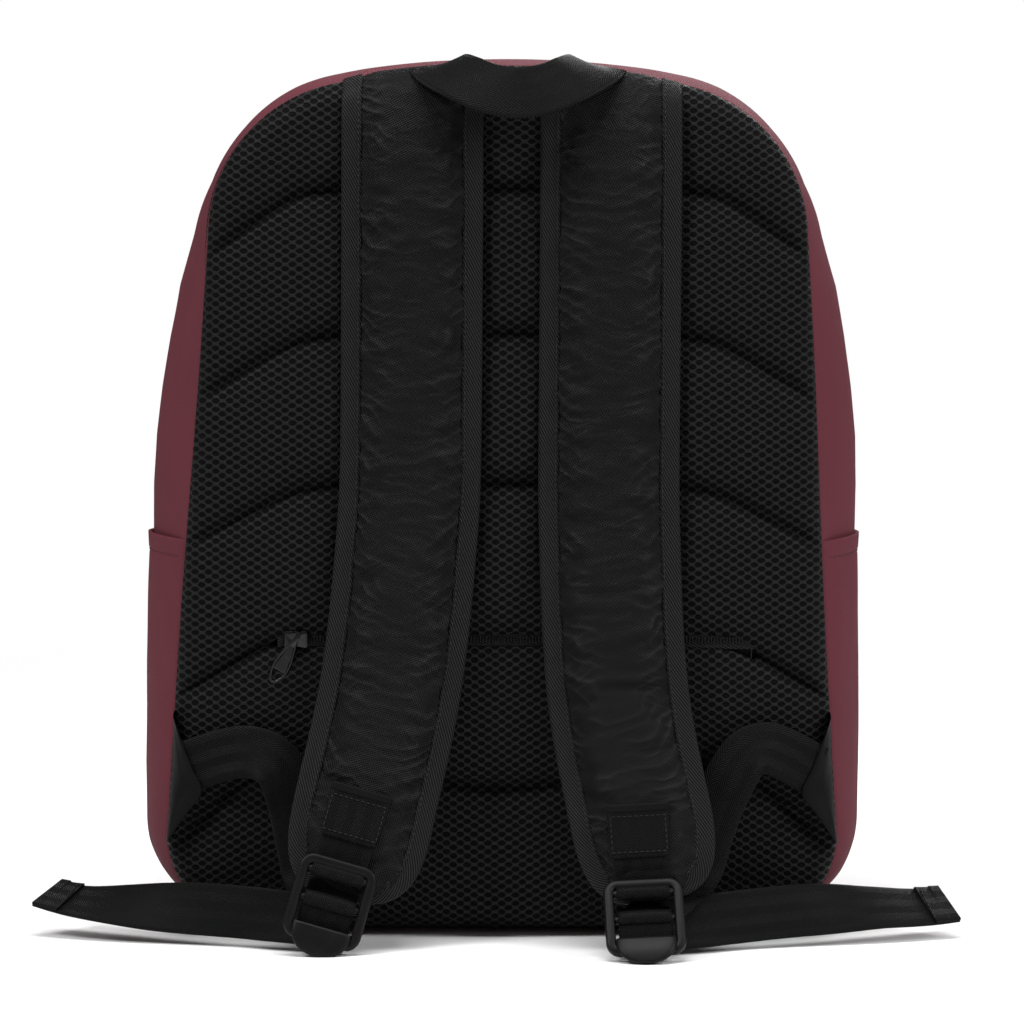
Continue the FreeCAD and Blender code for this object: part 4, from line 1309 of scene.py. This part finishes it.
def anchor_tab(side, space):
    """Tab sewn to the strap's end: down its face, over the first bar and back up under itself."""
    bar, across, out, down = buckle_frame(side)
    up = -down
    base_a = space["length"] - 12
    cols = [float(np.interp(base_a, space["run"], c)) for c in space["rows"].T]
    face_n = np.array(cols[7:10])
    gap = (bar - np.array(cols[:3])) @ face_n - cols[3] - 0.6
    flat = unit(up - face_n * (up @ face_n))
    near = 1.1 - gap
    p = lambda d, lift: bar + flat * d + face_n * (near + lift)
    ring = [bar + (out * math.cos(t) + up * math.sin(t)) * 2.9 for t in np.linspace(1.3, -2.4, 12)]
    route = [p(38, 0.5), p(30, 1.2), p(22, 1.1), p(15, 0.9), bar + up * 9.0 - out * 4.2,
             bar + up * 5.4 - out * 3.9] + ring
    route += [bar - out * 4.6 + up * 1.5, bar - out * 6.2 + up * 6.0]
    centre, _ = even(rows_at(np.array(route), np.linspace(0, 1, 240)), 110)
    tab = band("anchor_web_" + side, centre, np.tile(across, (110, 1)), WEB / 2, 1.4,
               "strap_" + side, WEBBING)
    stands_for(tab, "webbing", "anchor_tab_" + side)
    # The patch that covers its sewn end, folded under along its top edge.
    rows = np.linspace(0, 1, 26)
    patch_c = np.array([p(40 - 23 * t, 2.6 - 0.4 * t) for t in rows])
    patch = band("anchor_patch_" + side, patch_c, np.tile(across, (26, 1)),
                 WEB / 2 + 2.4 - 2.0 * rows, 1.5, "strap_" + side, WEBBING)
    fold = p(40.4, 2.7) + across * (np.linspace(-1, 1, 26) * (WEB / 2 + 2.2))[:, None]
    ridge = band(
        "anchor_fold_" + side, fold, np.tile(flat, (26, 1)), 2.1, 2.3, "strap_" + side, WING_CLOTH
    )
    edge = WEB / 2 + 0.4
    corners = [(-edge, 36.5), (edge, 36.5), (edge, 19.5), (-edge, 19.5), (-edge, 36.5)]
    box_line = np.array([p(d, 3.5) + across * e for e, d in corners])
    box_line, _ = even(box_line, 160)
    stitches("anchor_stitching_" + side, box_line, np.tile(face_n, (160, 1)), "strap_" + side, THREAD,
             pitch=2.6, length=1.9, radius=0.28)


for side, s in SIDES:
    buckle(side)
    anchor_tab(side, spaces[side])


# ------------------------------------------------------------------ webbing tails
def webbing_tail(side, s):
    """Webbing along the tail's path, with a folded and stitched end."""
    rows = np.array(TAIL_PATHS[side])
    centre, run = even(rows_at(rows[:, :3] * [s, 1, 1], np.linspace(0, 1, 300)), 150)
    share = run / run[-1]
    centre[:, 2] += 0.8 * np.sin(share * 9 + s) * share * (1 - share)
    across = rows_at(rows[:, 3:] * [s, 1, 1], share)
    tail = band("tail_web_" + side, centre, across, WEB / 2, 1.4, "tail_" + side, WEBBING, crown=0.25)
    stands_for(tail, "webbing", "webbing_tail_" + side)
    hem = centre[run > run[-1] - 14.5]
    hem_across = across[run > run[-1] - 14.5]
    along = unit(np.gradient(centre, axis=0))
    out = unit(np.cross(along, across))[run > run[-1] - 14.5]
    out = out * np.where(out[:, 1:2] > 0, -1, 1)
    hem_line, _ = even(hem + out * 1.3, 24)
    fold = band("tail_hem_" + side, hem_line, np.resize(hem_across, (24, 3)), WEB / 2 - 0.1, 1.5,
                "tail_" + side, WEBBING)
    first = hem_line[2]
    seam = first + hem_across[0] * np.linspace(-11, 11, 30)[:, None] + out[0] * 0.85
    stitches("tail_stitching_" + side, seam, np.tile(out[0], (30, 1)), "tail_" + side, THREAD,
             pitch=2.4, length=1.8, radius=0.3)


for side, s in SIDES:
    webbing_tail(side, s)


# ------------------------------------------------------------------ wings and lower webbing
def wing(side, s):
    """Fan of cloth ruled from the side seam to the short edge that holds the webbing."""
    t = np.linspace(0, 1, 40)[:, None]
    u = np.linspace(0, 1, 26)[None]
    seam_z = 109 - 63 * t
    seam_x = SIDE_HALF_WIDTH - SIDE_TAPER * (seam_z - SIDE_LEVEL) - 0.5
    tip = rows_at(np.array([
        (157.5, 107.0), (153.5, 95.0), (149.0, 83.0), (144.0, 71.0), (150.5, 61.5), (156.5, 53.0),
        (160.5, 47.0),
    ]), t[:, 0])
    x = seam_x * (1 - u) + tip[:, 0:1] * u
    z = seam_z * (1 - u) + tip[:, 1:2] * u
    lift = 71.2 + 4.6 * smooth(u * 1.1) + 0.5 * ripple(x, z, 71 + int(s), 26) * np.sin(math.pi * u)
    y = -(59.0 + (lift - 59.0) * np.sqrt(np.clip(1 - (1 - np.minimum(u * 2.6, 1)) ** 2, 0, 1)))
    face = np.stack([s * x, y - 0.9, z], -1)
    back = np.stack([s * x, y + 0.9, z], -1)
    uv = np.stack(np.broadcast_arrays(x, z), -1)
    cloth = shell("wing_cloth_" + side, face, back, "bag", WING_CLOTH, uv)
    stands_for(cloth, "black_cloth", "wing_" + side)


def lower_webbing(side, s):
    """Webbing from the wing, over its fold, and up behind the strap to the buckle."""
    bar, across_b, out, down = buckle_frame(side)
    behind = bar + down * (BAR_GAP + 3) - out * 5.5 - across_b * (2 + 2 * s)
    route = np.array(LOWER_WEB[side]) * [s, 1, 1]
    route = np.concatenate([route, [route[-1] * 0.45 + behind * 0.55], [behind]])
    turn = np.array([
        (s * -0.3, 0.05, -0.95), (s * -0.26, -0.1, -0.95), (s * -0.05, -0.22, -0.96),
        (s * 0.42, -0.35, -0.82), (s * 0.8, -0.25, -0.5), (s * 0.93, -0.1, -0.3),
        (s * 0.96, 0, -0.22), (s * 0.97, 0, -0.18), (s * 0.97, 0, -0.1), tuple(s * across_b),
    ])
    t = np.linspace(0, 1, 260)
    centre = rows_at(route, t)
    across = unit(rows_at(turn, t))
    web = band("lower_web_" + side, centre, across, WEB / 2, 1.4, None, WEBBING, crown=0.3)
    stands_for(web, "webbing", "lower_webbing_" + side)
    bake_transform(web)


for side, s in SIDES:
    wing(side, s)
    lower_webbing(side, s)


# ------------------------------------------------------------------ grab handle
def grab_handle():
    """Webbing ruled between the handle's low and high edges."""
    t = np.linspace(0, 1, 200)
    low, high = rows_at(HANDLE_LOW, t), rows_at(HANDLE_HIGH, t)
    centre = (low + high) / 2 * [HANDLE_SPREAD, 1.0, 1.0] + HANDLE_PLACE
    across = (high - low) * [1.0, 1.0, HANDLE_DEPTH]
    half = np.linalg.norm(across, axis=1) / 2
    handle = band("handle_web", centre, across, half, 1.7, None, WEBBING, crown=0.5)
    stands_for(handle, "webbing", "grab_handle")
    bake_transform(handle)


grab_handle()

# ------------------------------------------------------------------ sliders, pulls and hidden pieces
for side in ("left", "right"):
    refined("main_slider_" + side, "main_slider_body_" + side, 0.3)
    refined("main_pull_" + side, "main_pull_tab_" + side, 0.25)
for name in ("front_slider", "back_slider"):
    refined(name, name + "_detail", 0.25)


def wire_pull(name, pivot, down, out):
    """Zip pull: a teardrop wire loop 24 mm long round a thin tapered plate."""
    across = np.cross(out, down)
    t = np.linspace(0, 2 * math.pi, 96, endpoint=False)
    long = 11.6 - 11.6 * np.cos(t)
    wide = np.sin(t) * (2.0 + 2.2 * smooth(long / 20)) * (0.75 + 0.25 * np.abs(np.sin(t)))
    path = pivot + np.outer(long, down) + np.outer(wide, across)
    wire = ring_piece(name + "_wire", path, out, rounded_section(0.75, 0.75, 10, 2.0), name, ENAMEL)
    u = np.linspace(-1, 1, 15)[None]
    v = np.linspace(0, 1, 24)[:, None]
    at = 3.5 + 13.5 * v + 0 * u
    half = 1.5 + 1.7 * smooth((at - 3) / 15)
    point = lambda h: pivot + at[..., None] * down + (u * half)[..., None] * across + h * out
    plate = shell(name + "_plate", point(0.42), point(-0.42), name, ENAMEL, np.stack([u * half, at], -1))
    for piece in (wire, plate):
        stands_for(piece, "zip_metal", name)


hang = math.radians(29.0)
wire_pull("back_pull", np.array([-99.0, -72.4, 144.0]),
          np.array([-math.sin(hang), 0.0, -math.cos(hang)]), np.array([0.0, -1.0, 0.0]))
wire_pull("front_pull", np.array([-88.0, 86.7, 235.0]), np.array([0.0, 0.0, -1.0]),
          np.array([0.0, 1.0, 0.0]))

HIDDEN = {
    "back_lining": LINING, "back_pocket_lining": LINING, "front_pocket_lining": LINING,
    "laptop_sleeve": LINING, "sleeve_binding": TAPE,
}
for node, material in HIDDEN.items():
    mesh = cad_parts[node].data
    mesh.materials.clear()
    mesh.materials.append(material)

# ------------------------------------------------------------------ floor, light and camera
def pale_floor():
    """A flat pale square, in metres, that fades out between 0.8 m and 1.5 m from its middle."""
    ground = Finish("pale_floor", rough=0.9, specular=0.1)
    material = ground.finish((0.93, 0.93, 0.93))
    x, y, _ = ground.place()
    fade = (x * x + y * y).power(0.5).ramp(800.0, 1500.0, 1.0, 0.0)
    ground.tree.links.new(fade.socket, ground.shader.inputs["Alpha"])
    n = 1.55
    mesh = bpy.data.meshes.new("floor")
    mesh.from_pydata([(-n, -n, 0), (n, -n, 0), (n, n, 0), (-n, n, 0)], [], [(0, 1, 2, 3)])
    mesh.materials.append(material)
    floor = bpy.data.objects.new("floor", mesh)
    bpy.context.scene.collection.objects.link(floor)


def soft_light(name, place, aim, size, power):
    light = bpy.data.lights.new(name, "AREA")
    light.shape = "RECTANGLE"
    light.size, light.size_y = size
    light.energy = power
    obj = bpy.data.objects.new(name, light)
    obj.location = place
    obj.rotation_euler = (Vector(aim) - Vector(place)).to_track_quat("-Z", "Y").to_euler()
    bpy.context.scene.collection.objects.link(obj)
    return obj


pale_floor()
soft_light("key", (-1.3, -0.9, 1.7), (0, 0, 0.25), (0.6, 0.6), 24)
soft_light("fill", (1.5, -0.8, 1.2), (0, 0, 0.22), (0.6, 0.9), 19)
soft_light("top", (0.0, -0.3, 1.9), (0, 0, 0.2), (1.2, 0.8), 26)
soft_light("rear", (0.6, 1.7, 1.3), (0, 0, 0.25), (1.4, 1.0), 20)
world = bpy.data.worlds.new("studio")
world.use_nodes = True
sky = world.node_tree.nodes["Background"]
sky.inputs[0].default_value = (1.0, 1.0, 1.0, 1.0)
rays = world.node_tree.nodes.new("ShaderNodeLightPath")
seen = world.node_tree.nodes.new("ShaderNodeMapRange")
seen.inputs["To Min"].default_value = 0.17
seen.inputs["To Max"].default_value = 1.0
world.node_tree.links.new(rays.outputs["Is Camera Ray"], seen.inputs["Value"])
world.node_tree.links.new(seen.outputs[0], sky.inputs[1])
bpy.context.scene.world = world
bpy.context.scene.view_settings.view_transform = "Standard"

camera_data = bpy.data.cameras.new("camera")
camera_data.lens = 132.3
camera = bpy.data.objects.new("camera", camera_data)
camera.location = (0.004, -1.87, 0.31)
aim = Vector((0.0045, -0.07, 0.2055))
camera.rotation_euler = (aim - camera.location).to_track_quat("-Z", "Y").to_euler()
camera.rotation_euler.rotate_axis("Z", math.radians(0.15))
bpy.context.scene.collection.objects.link(camera)
bpy.context.scene.camera = camera

bpy.context.view_layer.update()
